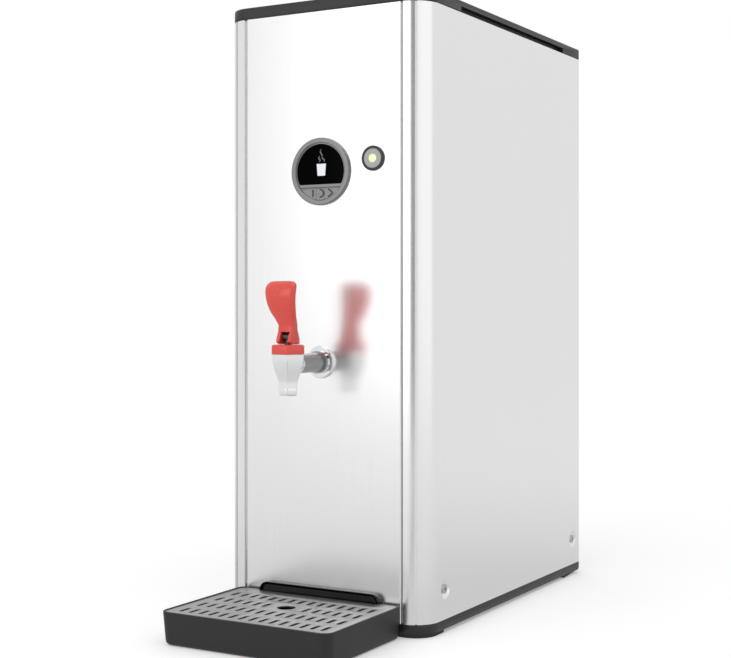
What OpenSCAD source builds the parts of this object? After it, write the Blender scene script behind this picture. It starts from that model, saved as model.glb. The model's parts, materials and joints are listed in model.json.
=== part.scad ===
// Counter-top hot water urn with a lever tap, a round display and a drip tray.
// Millimetres. X is the width, -Y is the front, +Z is up.
// Inside the modules y = 0 is the face of the front panel and z = 0 is the counter;
// place() then centres the whole depth on the origin.

/* [Casing] */
// Width over the side panels
body_w = 210; // [204:1:230]
// Depth from the front panel to the back edge
body_d = 355; // [350:1:400]
// Height of the front, side and rear panels
panel_h = 535.5; // [530:0.5:600]
// Radius of the two upright front corners
corner_r = 23.5; // [21:0.5:26]
// Radius of the two upright rear corners
rear_r = 3; // [2:0.5:4]
// Thickness of the panel sheet
sheet_t = 1.2; // [0.8:0.1:1.4]
// Width of the upright grooves beside the front panel
groove_w = 2; // [1:0.5:3]
// Depth of the upright grooves
groove_depth = 2.5; // [1.8:0.1:6]
// Depth of the folded edges of the front panel
fold_d = 14; // [12:1:18]
// Angle round the front corner where the trim meets the side panel
trim_angle = 28.5; // [26:0.5:36]
// Gap at the joint between corner trim and side panel
joint_gap = 1.8; // [0.4:0.1:2.2]
// Width of the flange folded onto the back
flange_w = 14; // [12:1:18]

/* [Base] */
// Height of the base pan
base_h = 10; // [9:0.5:16]
// Wall of the base pan
base_wall = 7; // [6:0.5:9]
// Floor of the base pan
base_floor = 2.5; // [2:0.5:4]
// Depth of the bevel under the rear edge
bevel_d = 9; // [4:1:11]
// Height of the bevel under the rear edge
bevel_h = 4.5; // [2:0.5:5]
// How far the feet stand below the base pan
foot_h = 1.5; // [1:0.5:4]
// Radius of a foot
foot_r = 14; // [10:1:16]
// Distance of the foot centres from the sides
foot_side = 26; // [24:1:32]
// Distance of the front foot centres from the front panel
foot_front = 30; // [27:1:40]
// Distance of the rear foot centres from the back
foot_rear = 27; // [26:1:40]
// Height of the side flanges of the floor plate
plate_flange_h = 43; // [40:1:60]
// Thickness of the floor plate and the tank stand
plate_t = 1.5; // [1:0.5:2.5]
// Height of the side screws above the counter
screw_z = 37.9; // [34:0.1:42]
// Distance of the front side screws from the front panel
screw_front = 36.4; // [36:0.1:44]
// Distance of the rear side screws from the back
screw_rear = 20.5; // [19:0.5:30]
// Radius of the dished seat round a side screw
dish_r = 8.5; // [7.5:0.5:9]
// Depth of the dished seat
dish_depth = 2.2; // [1.5:0.1:2.4]

/* [Lid] */
// Height of the lid
lid_h = 11; // [10:0.5:16]
// Thickness of the lid top
lid_t = 2.5; // [2:0.5:3]
// Thickness of the lid skirt
lid_wall = 3; // [2.5:0.5:4]
// Radius of the upper edge of the lid
lid_edge_r = 1.5; // [1:0.25:2]
// Height of the shadow line under the lid
lid_seam = 0.8; // [0.5:0.1:1.2]
// How far the lid rim reaches down inside the panels
lid_rim_h = 6; // [4:0.5:8]
// Height of the finger slots in the lid skirt
slot_h = 5.5; // [5:0.1:6]
// Distance of the finger slots from the front panel
slot_front = 67.5; // [60:0.5:80]
// Length of the finger slots
slot_len = 240.5; // [180:0.5:250]
// Depth of the finger slots
slot_d = 6; // [5:0.5:8]

/* [Display] */
// Height of the display centre above the counter
display_z = 404.3; // [395:0.1:420]
// Outer radius of the display ring
display_r = 30; // [29:0.5:33]
// Width of the display ring
ring_w = 4.6; // [4:0.1:5]
// How far the ring stands in front of the panel
ring_out = 3; // [2.2:0.1:4]
// Distance of the window's straight lower edge below the centre
window_cut = 11.5; // [10:0.5:12]
// Distance of the keys' upper edge below the centre
key_top = 15; // [14.5:0.1:16]
// Half the width of the middle key
key_half = 4.6; // [4.2:0.1:6]
// Travel of a key
key_travel = 0.5; // [0.3:0.1:0.6]

/* [Power button] */
// Distance of the button from the middle of the panel
button_x = 53.2; // [48:0.1:60]
// Height of the button above the counter
button_z = 413.5; // [400:0.5:430]
// Outer radius of the button bezel
button_r = 11; // [10.5:0.25:13]
// Radius of the moving cap
cap_r = 8.5; // [7:0.25:8.75]
// Radius of the lit dot
lamp_r = 3.75; // [2.5:0.25:4.5]
// Travel of the button cap
cap_travel = 2; // [1:0.25:2.5]

/* [Tap] */
// Distance of the tap's upright axis from the front panel
tap_reach = 53.5; // [48:0.5:65]
// Height of the shank axis above the counter
tap_z = 235.2; // [230:0.1:250]
// Radius of the shank
shank_r = 8.5; // [8:0.25:8.75]
// Radius of the waterway
water_r = 4.5; // [3.5:0.25:5]
// Height of the tap body above the shank axis
tap_up = 9; // [9:0.25:11]
// Depth of the nozzle below the shank axis
tap_down = 26.7; // [22:0.1:34]
// Corner radius of the six-sided body at its top
hex_r = 15.8; // [15.4:0.1:17]
// Height of the bonnet
bonnet_h = 8; // [7.5:0.25:10]
// Radius of the rosette on the front panel
rosette_r = 14.5; // [13:0.5:18]
// Height of the lever above its pin
lever_h = 47.9; // [42:0.1:60]
// Half width of the lever's paddle
lever_half = 12.6; // [10:0.1:14]
// Largest tilt of the lever in degrees
lever_tilt = 45; // [30:1:46]
// Lift of the stem for each radian of tilt
lift_per_rad = 3.2; // [2.4:0.1:3.3]
// Radius of the lever pin
pin_r = 1.5; // [1.25:0.05:1.75]
// Radius of the stem
stem_r = 3; // [2.5:0.1:3.2]

/* [Drip tray] */
// Half the width of the tray at its rim
tray_half = 84; // [78:0.5:95]
// Distance of the tray front from the front panel
tray_front = 124.5; // [122:0.5:160]
// Height of the tray rim
tray_h = 28.5; // [26.5:0.5:29]
// Gap between tray and front panel
tray_gap = 1; // [0.5:0.1:2]
// Plan radius of the tray corners
tray_r = 9.5; // [8:0.5:12]
// Radius along the lower edge of the tray
tray_edge_r = 3.5; // [3:0.5:5]
// Inward slope of the tray sides over its height
tray_draft = 1.8; // [1:0.1:4]
// Inward slope of the tray front over its height
front_draft = 1.8; // [1:0.1:4]
// Rim width round the grille
rim_w = 2; // [1.5:0.25:2.5]
// Width of the ledge under the grille
ledge_w = 3; // [2:0.5:4]
// Depth of the grille's top below the rim
grille_drop = 0.7; // [0.4:0.1:1]
// Thickness of the grille
grille_t = 1.5; // [1:0.25:2]
// Distance between the grille slots across the tray
slot_pitch_x = 10; // [9.5:0.25:10.5]
// Distance between the rows of grille slots
slot_pitch_y = 24.8; // [22:0.1:26]
// Length of a grille slot
grille_slot_l = 15.5; // [12:0.5:18]
// Width of a grille slot
grille_slot_w = 4; // [2:0.25:5]
// Radius of the large hole under the nozzle
drip_hole_r = 8; // [6:0.5:9]
// Half the width of the hook piece behind the grille
hook_half = 61.5; // [58:0.1:66]
// Height of the hook piece above the counter
hook_top = 35.8; // [35.4:0.1:40]

/* [Water tank] */
// Gap between the insulation and the side panels
tank_side = 9.8; // [9:0.1:15]
// Gap between the insulation and the rear panel
tank_space = 30.5; // [29:0.5:50]
// Height of the tank
tank_h = 215; // [180:1:218]
// Distance of the tank from the front panel
tank_front = 60; // [58:1:62]
// Thickness of the tank wall
tank_t = 1.2; // [1:0.1:2]
// Thickness of the insulation
foam_t = 12; // [10:1:12]
// Height of the tank stand's shelf above the counter
shelf_z = 262; // [258:1:275]
// How far the water inlet stands behind the back edge
inlet_out = 20; // [18:1:30]
// Radius of the water inlet's thread
inlet_r = 13.2; // [10:0.1:14]
// Height of the water inlet and cable entry above the counter
entry_z = 56; // [50:1:80]
// Distance of the water inlet from the middle
inlet_x = 30; // [26:1:40]
// Distance of the cable entry from the middle
gland_x = 60; // [50:1:66]
// Radius of the bore in the cable gland
gland_bore = 4; // [3:0.25:5]

/* [Hidden] */
$fn = 64;
// Clearances: flat seats in one body, holes round screws, moving pieces, hinge pin
seat = 0.3;
screw_gap = 0.1;
slide_gap = 0.3;
pin_gap = 0.05;
snug = 0.05;
over = 1;

base_top = foot_h + base_h;
panel_top = base_top + panel_h;
top_z = panel_top + lid_h;
side_x = body_w / 2;
groove_x = side_x - corner_r;
front_half = groove_x - groove_w / 2;
trim_x = groove_x + groove_w / 2;
plate_in = sheet_t + seat;
rear_face = body_d - sheet_t - seat / 3;
rear_in = rear_face - sheet_t;
front_y = (tray_front - body_d - inlet_out) / 2;
fold_lap = 9;
pan_head_r = 4;
pan_head_h = 2;
small_r = 2;

lid_floor = panel_top + lid_seam;
lid_ceiling = top_z - lid_t;
gutter_x = side_x - slot_d;
gutter_wall = 2;

face_out = ring_out - 1.4;
face_t = 1.5;
display_barrel_r = display_r - 2.4;
barrel_wall = 1.6;
barrel_in = 10;
window_r = display_r - ring_w - 0.9;
key_r = display_r - ring_w + 0.4;
board_y = 5.2;
housing_r = display_r + 2;
housing_d = 22;

button_out = 2;
button_barrel_r = cap_r + 1;
button_barrel_d = 16;
plunger_r = 4;
plunger_end = 9;

body_top = tap_z + tap_up;
bonnet_top = body_top + bonnet_h;
nozzle_z = tap_z - tap_down;
chamber_r = 9.4;
seat_z = tap_z - 6.2;
outlet_r = 5;
spigot_h = 3.2;
spigot_r = 7;
ceiling_z = bonnet_top - 3.2;
cam_base = 6;
pin_z = bonnet_top + cam_base + slide_gap;
cheek_in = 4.2;
cheek_out = 6;
eye_r = 3.8;
tail_r = 6.9;
tail_end = 24;
barb_r = 5.8;
barb_end = 36;
rosette_out = 5;
collar_r = 10;
boss_end = tap_reach - 13.9;
nut_t = 6;
washer_t = 1;
cup_top = tap_z + 4.3;
collar_t = 0.8;

grille_top = tray_h - grille_drop;
grille_z = grille_top - grille_t;
hook_d = 6;
hook_r = 8;
tongue_x = 40;
tongue_w = 20;
tongue_z = tray_h + 1.5;
tongue_h = 4;
tongue_end = 9;
hole_y = -tray_front + 68;

shelf_t = 2;
tank_w = body_w - 2 * (sheet_t + tank_side + foam_t);
tank_l = rear_in - tank_space - foam_t - tank_front;
tank_z = shelf_z + shelf_t + foam_t;
tank_top = tank_z + tank_h;
tank_back = tank_front + tank_l;
rim_over = 8;
rim_t = 2;
gasket_t = 2;
cover_t = 2;
cover_top = tank_top + gasket_t + cover_t;
port_y = tank_front + 22;
hose_in = 4.6;
hose_r = 7;
hose_bend = 21;
rise_y = (tank_back + foam_t + rear_in) / 2;
supply_r = 5.5;
supply_in = 3.5;
supply_bend = 15;
supply_y = tank_back - 40;
supply_z = cover_top + 10;
valve_r = 15;
leg_x = tank_w / 2 + foam_t - 1;
leg_front = tank_front + 10;
leg_back = tank_back - 10;
post_w = 60;
element_z = tank_z + 28;
element_x = 14;
element_l = 150;
flange_r = 25;
board_x = leg_x - 27;
board_front = 110;
board_len = 150;
board_low = 50;
board_tall = 140;
board_t = 1.6;

// Helpers ----------------------------------------------------------------------------

// Moves the working frame so that the whole depth is centred on the origin
module place() {
  translate([0, front_y, 0]) children();
}

// Upright solid of a flat outline
module slab(z, h) {
  translate([0, 0, z]) linear_extrude(h) children();
}

// Outline drawn in x and height, pushed from y1 to y2
module push_y(y1, y2) {
  translate([0, y2, 0]) rotate([90, 0, 0]) linear_extrude(y2 - y1) children();
}

// Outline drawn in depth and height, pushed along the width about the middle
module push_x(x1, x2) {
  translate([x1, 0, 0]) rotate([90, 0, 90]) linear_extrude(x2 - x1) children();
}

// Profile drawn in radius and distance in front of the panel, turned about an axis along Y
module turn_front(x, z) {
  translate([x, 0, z]) rotate([90, 0, 0]) rotate_extrude() children();
}

// Round bar along Y
module rod_y(x, z, y1, y2, r) {
  translate([x, y1, z]) rotate([-90, 0, 0]) cylinder(h = y2 - y1, r = r);
}

// Round bar along X
module rod_x(y, z, x1, x2, r) {
  translate([x1, y, z]) rotate([0, 90, 0]) cylinder(h = x2 - x1, r = r);
}

// Round bar along Z
module rod_z(x, y, z1, z2, r) {
  translate([x, y, z1]) cylinder(h = z2 - z1, r = r);
}

// Left and right copies of a piece
module both() {
  children();
  mirror([1, 0, 0]) children();
}

// Rectangle with round corners about the origin
module round_rect(w, d, r) {
  square([w - 2 * r, d], center = true);
  square([w, d - 2 * r], center = true);
  for (x = [-1, 1], y = [-1, 1])
    translate([x * (w / 2 - r), y * (d / 2 - r)]) circle(r);
}

// Slot outline along Y with half-round ends
module slot_outline(len, w) {
  square([w, len - w], center = true);
  for (s = [-1, 1])
    translate([0, s * (len - w) / 2]) circle(w / 2);
}

// Body outline from above, drawn in from the outside by a distance
module plan(inset = 0) {
  x = side_x - inset;
  y1 = inset;
  y2 = body_d - inset;
  rf = corner_r - inset;
  rb = max(rear_r - inset, 0.4);
  translate([-x, y1 + rf]) square([2 * x, y2 - y1 - rf - rb]);
  translate([-x + rf, y1]) square([2 * (x - rf), rf + over]);
  translate([-x + rb, y2 - rb - over]) square([2 * (x - rb), rb + over]);
  for (s = [-1, 1]) {
    translate([s * (x - rf), y1 + rf]) circle(rf);
    translate([s * (x - rb), y2 - rb]) circle(rb);
  }
}

// Outline of the space between the folded panels, drawn in by a further distance
module inside_plan(inset = 0) {
  front = fold_d + sheet_t + seat + inset;
  intersection() {
    plan(plate_in + inset);
    translate([-side_x, front]) square([body_w, rear_in - seat - inset - front]);
  }
}

// Long outline with half-round ends from y = 0 to y = len
module obround(w, len) {
  translate([-w / 2, w / 2]) square([w, len - w]);
  for (y = [w / 2, len - w / 2])
    translate([0, y]) circle(w / 2);
}

// Closed skin over a stack of rings with equal point counts, listed from the bottom up
module skin(rings) {
  n = len(rings[0]);
  last = (len(rings) - 1) * n;
  side = [for (j = [0 : len(rings) - 2], i = [0 : n - 1], half = [0, 1])
    let (a = j * n + i, b = j * n + (i + 1) % n)
    half == 0 ? [a, a + n, b + n] : [a, b + n, b]];
  low = [[for (i = [0 : n - 1]) i]];
  high = [[for (i = [n - 1 : -1 : 0]) last + i]];
  polyhedron(points = [for (ring = rings) each ring], faces = concat(low, side, high));
}

// Ring of a six-sided outline with rounded corners and flats to the front and back
function hex_ring(r, z, soft, n = 4) =
  [for (c = [0 : 5], i = [0 : n])
    let (a = 60 * c, b = a - 30 + 60 * i / n, m = r - soft / cos(30))
    [m * cos(a) + soft * cos(b), m * sin(a) + soft * sin(b), z]];

// Ring of a rectangle with round corners between two depths
function rect_ring(x, y1, y2, r, z, n = 8) =
  [for (c = [0 : 3], i = [0 : n])
    let (a = 90 * c + 90 * i / n, sx = (c == 0 || c == 3) ? 1 : -1, sy = c < 2 ? 1 : 0)
    [sx * (x - r) + r * cos(a), (sy == 1 ? y2 - r : y1 + r) + r * sin(a), z]];

// Ring of the body outline, drawn in from the outside by a distance
function plan_ring(inset, z, n = 12) =
  [for (c = [0 : 3], i = [0 : n])
    let (a = 90 * c + 90 * i / n, sx = (c == 0 || c == 3) ? 1 : -1, front = c > 1,
      outer = front ? corner_r : rear_r, r = max(outer - inset, 0.05))
    [sx * (side_x - outer) + r * cos(a), (front ? outer : body_d - outer) + r * sin(a), z]];

// Ring of a rounded box section, half sizes hx and hy, shifted by y
function paddle_ring(hx, hy, y, z, power = 3, n = 40) =
  [for (i = [0 : n - 1])
    let (a = 360 * i / n, c = cos(a), s = sin(a))
    [hx * sign(c) * pow(abs(c), 2 / power), y + hy * sign(s) * pow(abs(s), 2 / power), z]];

// Smooth value at t through a list of [position, value, value, ...] rows
function row_at(rows, t, i = 0) =
  i >= len(rows) - 2 || t <= rows[i + 1][0] ? i : row_at(rows, t, i + 1);
function smooth(rows, t, k) =
  let (i = row_at(rows, t),
    p0 = rows[max(i - 1, 0)], p1 = rows[i], p2 = rows[i + 1], p3 = rows[min(i + 2, len(rows) - 1)],
    h = p2[0] - p1[0], s = (t - p1[0]) / h,
    m1 = (p2[k] - p0[k]) / (p2[0] - p0[0]) * h,
    m2 = (p3[k] - p1[k]) / (p3[0] - p1[0]) * h)
  (2 * s * s * s - 3 * s * s + 1) * p1[k] + (s * s * s - 2 * s * s + s) * m1
  + (3 * s * s - 2 * s * s * s) * p2[k] + (s * s * s - s * s) * m2;

// Pan-head screw along +Y from its seat at y = 0, the head towards the front
module screw(shank_l, shank_r = 1.9) {
  difference() {
    union() {
      rod_y(0, 0, -pan_head_h, 0, pan_head_r);
      rod_y(0, 0, -snug, shank_l, shank_r);
    }
    for (a = [0, 90])
      rotate([0, a, 0]) translate([-2.2, -pan_head_h - over, -0.4]) cube([4.4, over + 1.1, 0.8]);
  }
}

// Casing -----------------------------------------------------------------------------

foot_points = [for (s = [-1, 1], y = [foot_front, body_d - foot_rear]) [s * (side_x - foot_side), y]];
side_screw_y = [screw_front, body_d - screw_rear];
rear_screw_z = [for (k = [0 : 3]) base_top + 20 + k * (panel_h - 40) / 3];
rear_screw_x = side_x - flange_w / 2;
lid_screw_x = 60;
vent_rows = 6;
vent_x = 42;
vent_drop = 60;
vent_pitch = 12;
vent_len = body_w / 4;
vent_w = 4;
lid_screw_z = lid_floor + (lid_h - lid_seam) / 2;

module base_pan() {
  color("#3a3b3c") place() difference() {
    union() {
      difference() {
        slab(foot_h, base_h) plan();
        slab(foot_h + base_floor, base_h) plan(base_wall);
      }
      for (p = foot_points)
        rod_z(p[0], p[1], foot_h, base_top, foot_r + 3);
      for (x = [-60 : 30 : 60])
        translate([x - 1, base_wall, foot_h]) cube([2, body_d - 2 * base_wall, base_h]);
      for (y = [60 : 60 : 300])
        translate([base_wall - side_x, y - 1, foot_h]) cube([2 * (side_x - base_wall), 2, base_h]);
    }
    for (p = foot_points) {
      rod_z(p[0], p[1], foot_h - over, foot_h + 1.5, foot_r + seat);
      rod_z(p[0], p[1], foot_h, foot_h + 7.5, 3 + snug);
    }
    push_x(-side_x - over, side_x + over)
      polygon([[body_d - bevel_d, foot_h], [body_d + bevel_d, foot_h + 2 * bevel_h],
        [body_d + bevel_d, foot_h - over], [body_d - bevel_d, foot_h - over]]);
  }
}

module feet() {
  color("#1b1b1c") place() for (p = foot_points) {
    rod_z(p[0], p[1], 0, foot_h + 1.5, foot_r);
    rod_z(p[0], p[1], foot_h, foot_h + 7, 3);
  }
}

// Steel floor plate with upturned sides that take the side screws
module floor_plate() {
  flange_x = side_x - plate_in;
  color("#b9bcbf") place() difference() {
    union() {
      slab(base_top, plate_t) inside_plan();
      both() translate([flange_x - plate_t, corner_r + 2, base_top])
        cube([plate_t, rear_in - corner_r - 2 - seat, plate_flange_h]);
    }
    both() for (y = side_screw_y)
      rod_x(y, screw_z, flange_x - plate_t - over, flange_x + over, 2);
    both() for (y = side_screw_y)
      rod_x(y, screw_z, flange_x - dish_depth, flange_x + over, dish_r + over);
    rod_z(-inlet_x, rise_y, base_top - over, base_top + plate_t + over, supply_r + seat);
  }
}

module front_panel() {
  h = panel_h - 2 * sheet_t;
  color("#d9dadb") place() difference() {
    slab(base_top, panel_h) front_outline(0);
    slab(base_top + sheet_t, h) translate([0, sheet_t]) front_outline(sheet_t);
    rod_y(0, display_z, -over, sheet_t + over, display_barrel_r + screw_gap);
    rod_y(button_x, button_z, -over, sheet_t + over, button_barrel_r + screw_gap);
    rod_y(0, tap_z, -over, sheet_t + over, tail_r + screw_gap);
    for (s = [-1, 1])
      translate([s * tongue_x - tongue_w / 2 - seat, -over, tongue_z - seat])
        cube([tongue_w + 2 * seat, sheet_t + 2 * over, tongue_h + 2 * seat]);
  }
}

// Front panel seen from above: a flat face with softly bent edges and side folds
module front_outline(inset) {
  w = front_half - inset;
  bend_r = 1.6 - inset;
  translate([-w, bend_r]) square([2 * w, fold_d - bend_r + (inset > 0 ? over : 0)]);
  translate([bend_r - w, 0]) square([2 * (w - bend_r), bend_r + over]);
  for (s = [-1, 1])
    translate([s * (w - bend_r), bend_r]) circle(bend_r);
}

// Wedge of the front right corner between two angles measured from the front
module corner_wedge(a1, a2) {
  far = corner_r * 1.6;
  translate([groove_x, corner_r])
    polygon([[0, 0], [far * sin(a1), -far * cos(a1)], [far * sin((a1 + a2) / 2), -far * cos((a1 + a2) / 2)],
      [far * sin(a2), -far * cos(a2)]]);
}

// Rounded strip between groove and side panel, folded back behind the front panel
module corner_trim() {
  start = asin((groove_w / 2) / corner_r);
  lap_r = corner_r - sheet_t - screw_gap;
  fold_x = front_half + seat;
  floor_y = groove_depth;
  slab(base_top, panel_h) {
    intersection() {
      difference() {
        translate([groove_x, corner_r]) circle(corner_r);
        translate([groove_x, corner_r]) circle(corner_r - sheet_t);
      }
      corner_wedge(start, trim_angle);
    }
    intersection() {
      difference() {
        translate([groove_x, corner_r]) circle(lap_r + 2 * screw_gap);
        translate([groove_x, corner_r]) circle(lap_r - sheet_t);
      }
      corner_wedge(trim_angle - 6, trim_angle - 1);
    }
    intersection() {
      difference() {
        translate([groove_x, corner_r]) circle(lap_r);
        translate([groove_x, corner_r]) circle(lap_r - sheet_t);
      }
      corner_wedge(trim_angle - 6, trim_angle + 12);
    }
    translate([trim_x, sheet_t / 2]) square([sheet_t, floor_y + sheet_t / 2]);
    translate([fold_x, floor_y]) square([trim_x + sheet_t - fold_x, sheet_t]);
    translate([fold_x, floor_y]) square([sheet_t, fold_d + sheet_t - floor_y]);
    translate([fold_x - fold_lap, fold_d]) square([fold_lap + sheet_t, sheet_t]);
  }
}

module left_corner_trim() {
  color("#d6d7d8") place() mirror([1, 0, 0]) corner_trim();
}

module right_corner_trim() {
  color("#d6d7d8") place() corner_trim();
}

// Side sheet: rounded front edge, flat side, flange folded onto the back, dished screw seats
module side_panel() {
  gap_angle = joint_gap / corner_r * 180 / PI;
  difference() {
    union() {
      slab(base_top, panel_h) intersection() {
        difference() {
          plan();
          plan(sheet_t);
        }
        union() {
          corner_wedge(trim_angle + gap_angle, 92);
          translate([side_x - flange_w, corner_r]) square([flange_w, body_d]);
        }
      }
      for (y = side_screw_y)
        translate([side_x - sheet_t, y, screw_z]) rotate([0, -90, 0])
          cylinder(h = dish_depth, r1 = dish_r + 1.2, r2 = dish_r - 2.4);
    }
    for (y = side_screw_y) {
      translate([side_x, y, screw_z]) rotate([0, -90, 0])
        cylinder(h = dish_depth, r1 = dish_r, r2 = dish_r - 3.6);
      rod_x(y, screw_z, side_x - 6, side_x, small_r);
    }
    for (z = rear_screw_z)
      rod_y(rear_screw_x, z, body_d - sheet_t - over, body_d + over, small_r);
  }
}

module left_side_panel() {
  color("#cfd0d1") place() mirror([1, 0, 0]) side_panel();
}

module right_side_panel() {
  color("#cfd0d1") place() side_panel();
}

// Flat back with cooling slots, screwed under the flanges of the side panels
module rear_panel() {
  w = body_w - 2 * (rear_r + seat);
  color("#c4c6c8") place() difference() {
    translate([-w / 2, rear_in, base_top]) cube([w, sheet_t, panel_h]);
    for (s = [-1, 1], k = [0 : vent_rows - 1])
      push_y(rear_in - over, rear_face + over)
        translate([s * vent_x, panel_top - vent_drop - vent_pitch * k])
          rotate(90) slot_outline(vent_len, vent_w);
    both() for (z = rear_screw_z)
      rod_y(rear_screw_x, z, rear_in - over, rear_face + over, small_r);
    rod_y(inlet_x, entry_z, rear_in - over, rear_face + over, inlet_r + seat);
    rod_y(-gland_x, entry_z, rear_in - over, rear_face + over, gland_bore + 4 + screw_gap);
  }
}

// Lid: round-edged cap, shadow line, rim inside the panels and a finger slot each side
module lid() {
  color("#4c4d4f") place() difference() {
    union() {
      difference() {
        union() {
          lid_cap();
          slab(panel_top, lid_seam) plan(lid_seam);
          slab(panel_top - lid_rim_h, lid_rim_h) inside_plan();
        }
        slab(panel_top - lid_rim_h - over, lid_ceiling - panel_top + lid_rim_h + over)
          inside_plan(lid_wall);
      }
      both() translate([gutter_x - gutter_wall, slot_front - gutter_wall, panel_top - lid_rim_h])
        cube([slot_d + gutter_wall - plate_in, slot_len + 2 * gutter_wall, lid_ceiling - panel_top + lid_rim_h]);
    }
    both() translate([gutter_x, slot_front, panel_top])
      cube([slot_d + over, slot_len, slot_h]);
    both() rod_y(lid_screw_x, lid_screw_z, body_d - 12, body_d + over, small_r);
  }
}

// Lid cap: the body outline with a rounded upper edge
module lid_cap() {
  edge = [for (a = [0 : 22.5 : 90])
    plan_ring(lid_edge_r * (1 - cos(a)), top_z - lid_edge_r * (1 - sin(a)))];
  skin(concat([plan_ring(0, lid_floor)], edge));
}

module side_screws() {
  color("#a8abae") place() both() for (y = side_screw_y)
    translate([side_x - dish_depth, y, screw_z]) rotate([0, 0, 90]) screw(7);
}

module rear_screws() {
  color("#a8abae") place() {
    both() for (z = rear_screw_z)
      translate([rear_screw_x, body_d, z]) rotate([0, 0, 180]) screw(6);
    both() translate([lid_screw_x, body_d, lid_screw_z]) rotate([0, 0, 180]) screw(8);
  }
}

// Display ----------------------------------------------------------------------------

// Circle segment below a level
module below(r, level) {
  intersection() {
    circle(r);
    translate([-r, -r]) square([2 * r, r + level]);
  }
}

// Window outline: a circle with a straight lower edge and soft lower corners
module window_outline(inset = 0) {
  r = window_r - inset;
  soft = 2;
  level = inset - window_cut;
  corner_y = level + soft;
  corner_x = sqrt(pow(r - soft, 2) - pow(corner_y, 2));
  intersection() {
    circle(r);
    translate([-r, corner_y]) square([2 * r, 2 * r]);
  }
  translate([-corner_x, level]) square([2 * corner_x, soft + 0.01]);
  for (s = [-1, 1])
    translate([s * corner_x, corner_y]) circle(soft);
}

module display_bezel() {
  edge = 1.2;
  color("#9b9da0") place() {
    turn_front(0, display_z) difference() {
      union() {
        translate([display_r - ring_w, 0]) square([ring_w, ring_out - edge]);
        translate([display_r - ring_w, ring_out - edge - snug]) square([ring_w - edge, edge + snug]);
        translate([display_r - edge, ring_out - edge]) circle(edge);
      }
      translate([display_r - ring_w, ring_out + 0.5]) rotate(-45) square(1.6, center = true);
    }
    difference() {
      rod_y(0, display_z, -face_out, face_t - face_out, display_r - ring_w + snug);
      push_y(-face_out - over, face_t) translate([0, display_z]) window_outline();
      push_y(-face_out - over, face_t) translate([0, display_z]) below(key_r - slide_gap, -key_top);
    }
    difference() {
      rod_y(0, display_z, face_t - face_out - snug, barrel_in, display_barrel_r);
      rod_y(0, display_z, face_t - face_out - over, barrel_in + over, display_barrel_r - barrel_wall);
    }
  }
}

module display_window() {
  color("#0c0d0e") place()
    push_y(0.1 - face_out, face_t - face_out) translate([0, display_z]) window_outline(snug);
}

// One key: the cut from the key field between two sides, a retaining edge and a plunger
module key(x1, x2, x_plunger) {
  rear = face_t - face_out + slide_gap;
  cut = key_r - 2 * slide_gap;
  push_y(-face_out, rear + snug) translate([0, display_z]) intersection() {
    below(cut, -key_top - slide_gap);
    translate([x1, -display_r]) square([x2 - x1, display_r]);
  }
  push_y(rear, rear + 1) translate([0, display_z]) intersection() {
    below(key_r - snug, 0.5 - key_top);
    translate([x1, -display_r]) square([x2 - x1, display_r]);
  }
  rod_y(x_plunger, display_z - key_top - 5, rear, board_y - 1 - key_travel, 1.5);
}

mark_h = 5.4;
mark_w = 1.1;
mark_out = face_out + 0.3;
mark_z = display_z - key_top - 5.4;
side_key_x = 8.7;

module key_left() {
  color("#a2a4a6") place() {
    key(-display_r, -key_half, -side_key_x);
    translate([-side_key_x - mark_w / 2, -mark_out, mark_z - mark_h / 2]) cube([mark_w, mark_out, mark_h]);
  }
}

module key_middle() {
  color("#a2a4a6") place() {
    key(slide_gap - key_half, key_half - slide_gap, 0);
    difference() {
      rod_y(0, mark_z, -mark_out, -face_out + snug, mark_h / 2);
      rod_y(0, mark_z, -mark_out - over, -face_out, mark_h / 2 - mark_w);
    }
  }
}

module key_right() {
  arm = 3.6;
  color("#a2a4a6") place() {
    key(key_half, display_r, side_key_x);
    for (s = [-1, 1])
      translate([side_key_x + 1.6, -mark_out, mark_z]) rotate([0, s * 40, 0])
        translate([-arm, 0, -mark_w / 2]) cube([arm + 0.3, mark_out, mark_w]);
  }
}

// Cup that clamps the bezel from behind the front panel
module display_housing() {
  color("#2b2c2e") place() difference() {
    rod_y(0, display_z, sheet_t, housing_d, housing_r);
    rod_y(0, display_z, sheet_t - over, housing_d - 2, display_barrel_r + snug);
    push_y(housing_d - over - 2, housing_d + over) translate([0, display_z - 18]) square([14, 5], center = true);
  }
}

// Circuit board with the screen block and three key switches
module display_board() {
  r = display_barrel_r - barrel_wall - snug;
  color("#2f6b3a") place() {
    rod_y(0, display_z, board_y, board_y + 1.6, r);
    translate([-18, face_t - face_out + 0.1, display_z - window_cut + 2])
      cube([36, board_y - face_t + face_out, 22]);
    for (x = [-side_key_x, 0, side_key_x])
      translate([x - 2, board_y - 0.8, display_z - key_top - 7]) cube([4, 0.9, 4]);
    translate([-8, board_y + 1.5, display_z - 6]) cube([16, 5, 9]);
  }
}

// Power button -----------------------------------------------------------------------

module button_bezel() {
  edge = 0.8;
  inner = cap_r + slide_gap;
  color("#3f4042") place() difference() {
    union() {
      turn_front(button_x, button_z) {
        translate([inner, 0]) square([button_r - inner, button_out - edge]);
        translate([inner, button_out - edge - snug]) square([button_r - inner - edge, edge + snug]);
        translate([button_r - edge, button_out - edge]) circle(edge);
      }
      rod_y(button_x, button_z, -snug, button_barrel_d, button_barrel_r);
    }
    rod_y(button_x, button_z, -button_out - over, cap_travel + 4.5, inner);
    rod_y(button_x, button_z, 0, button_barrel_d + over, plunger_r + slide_gap);
  }
}

module button_cap() {
  color("#b9bab8") place() difference() {
    union() {
      rod_y(button_x, button_z, 0.4 - button_out, 4, cap_r);
      rod_y(button_x, button_z, 3, plunger_end, plunger_r);
    }
    rod_y(button_x, button_z, -button_out - over, 2, lamp_r);
  }
}

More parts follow.
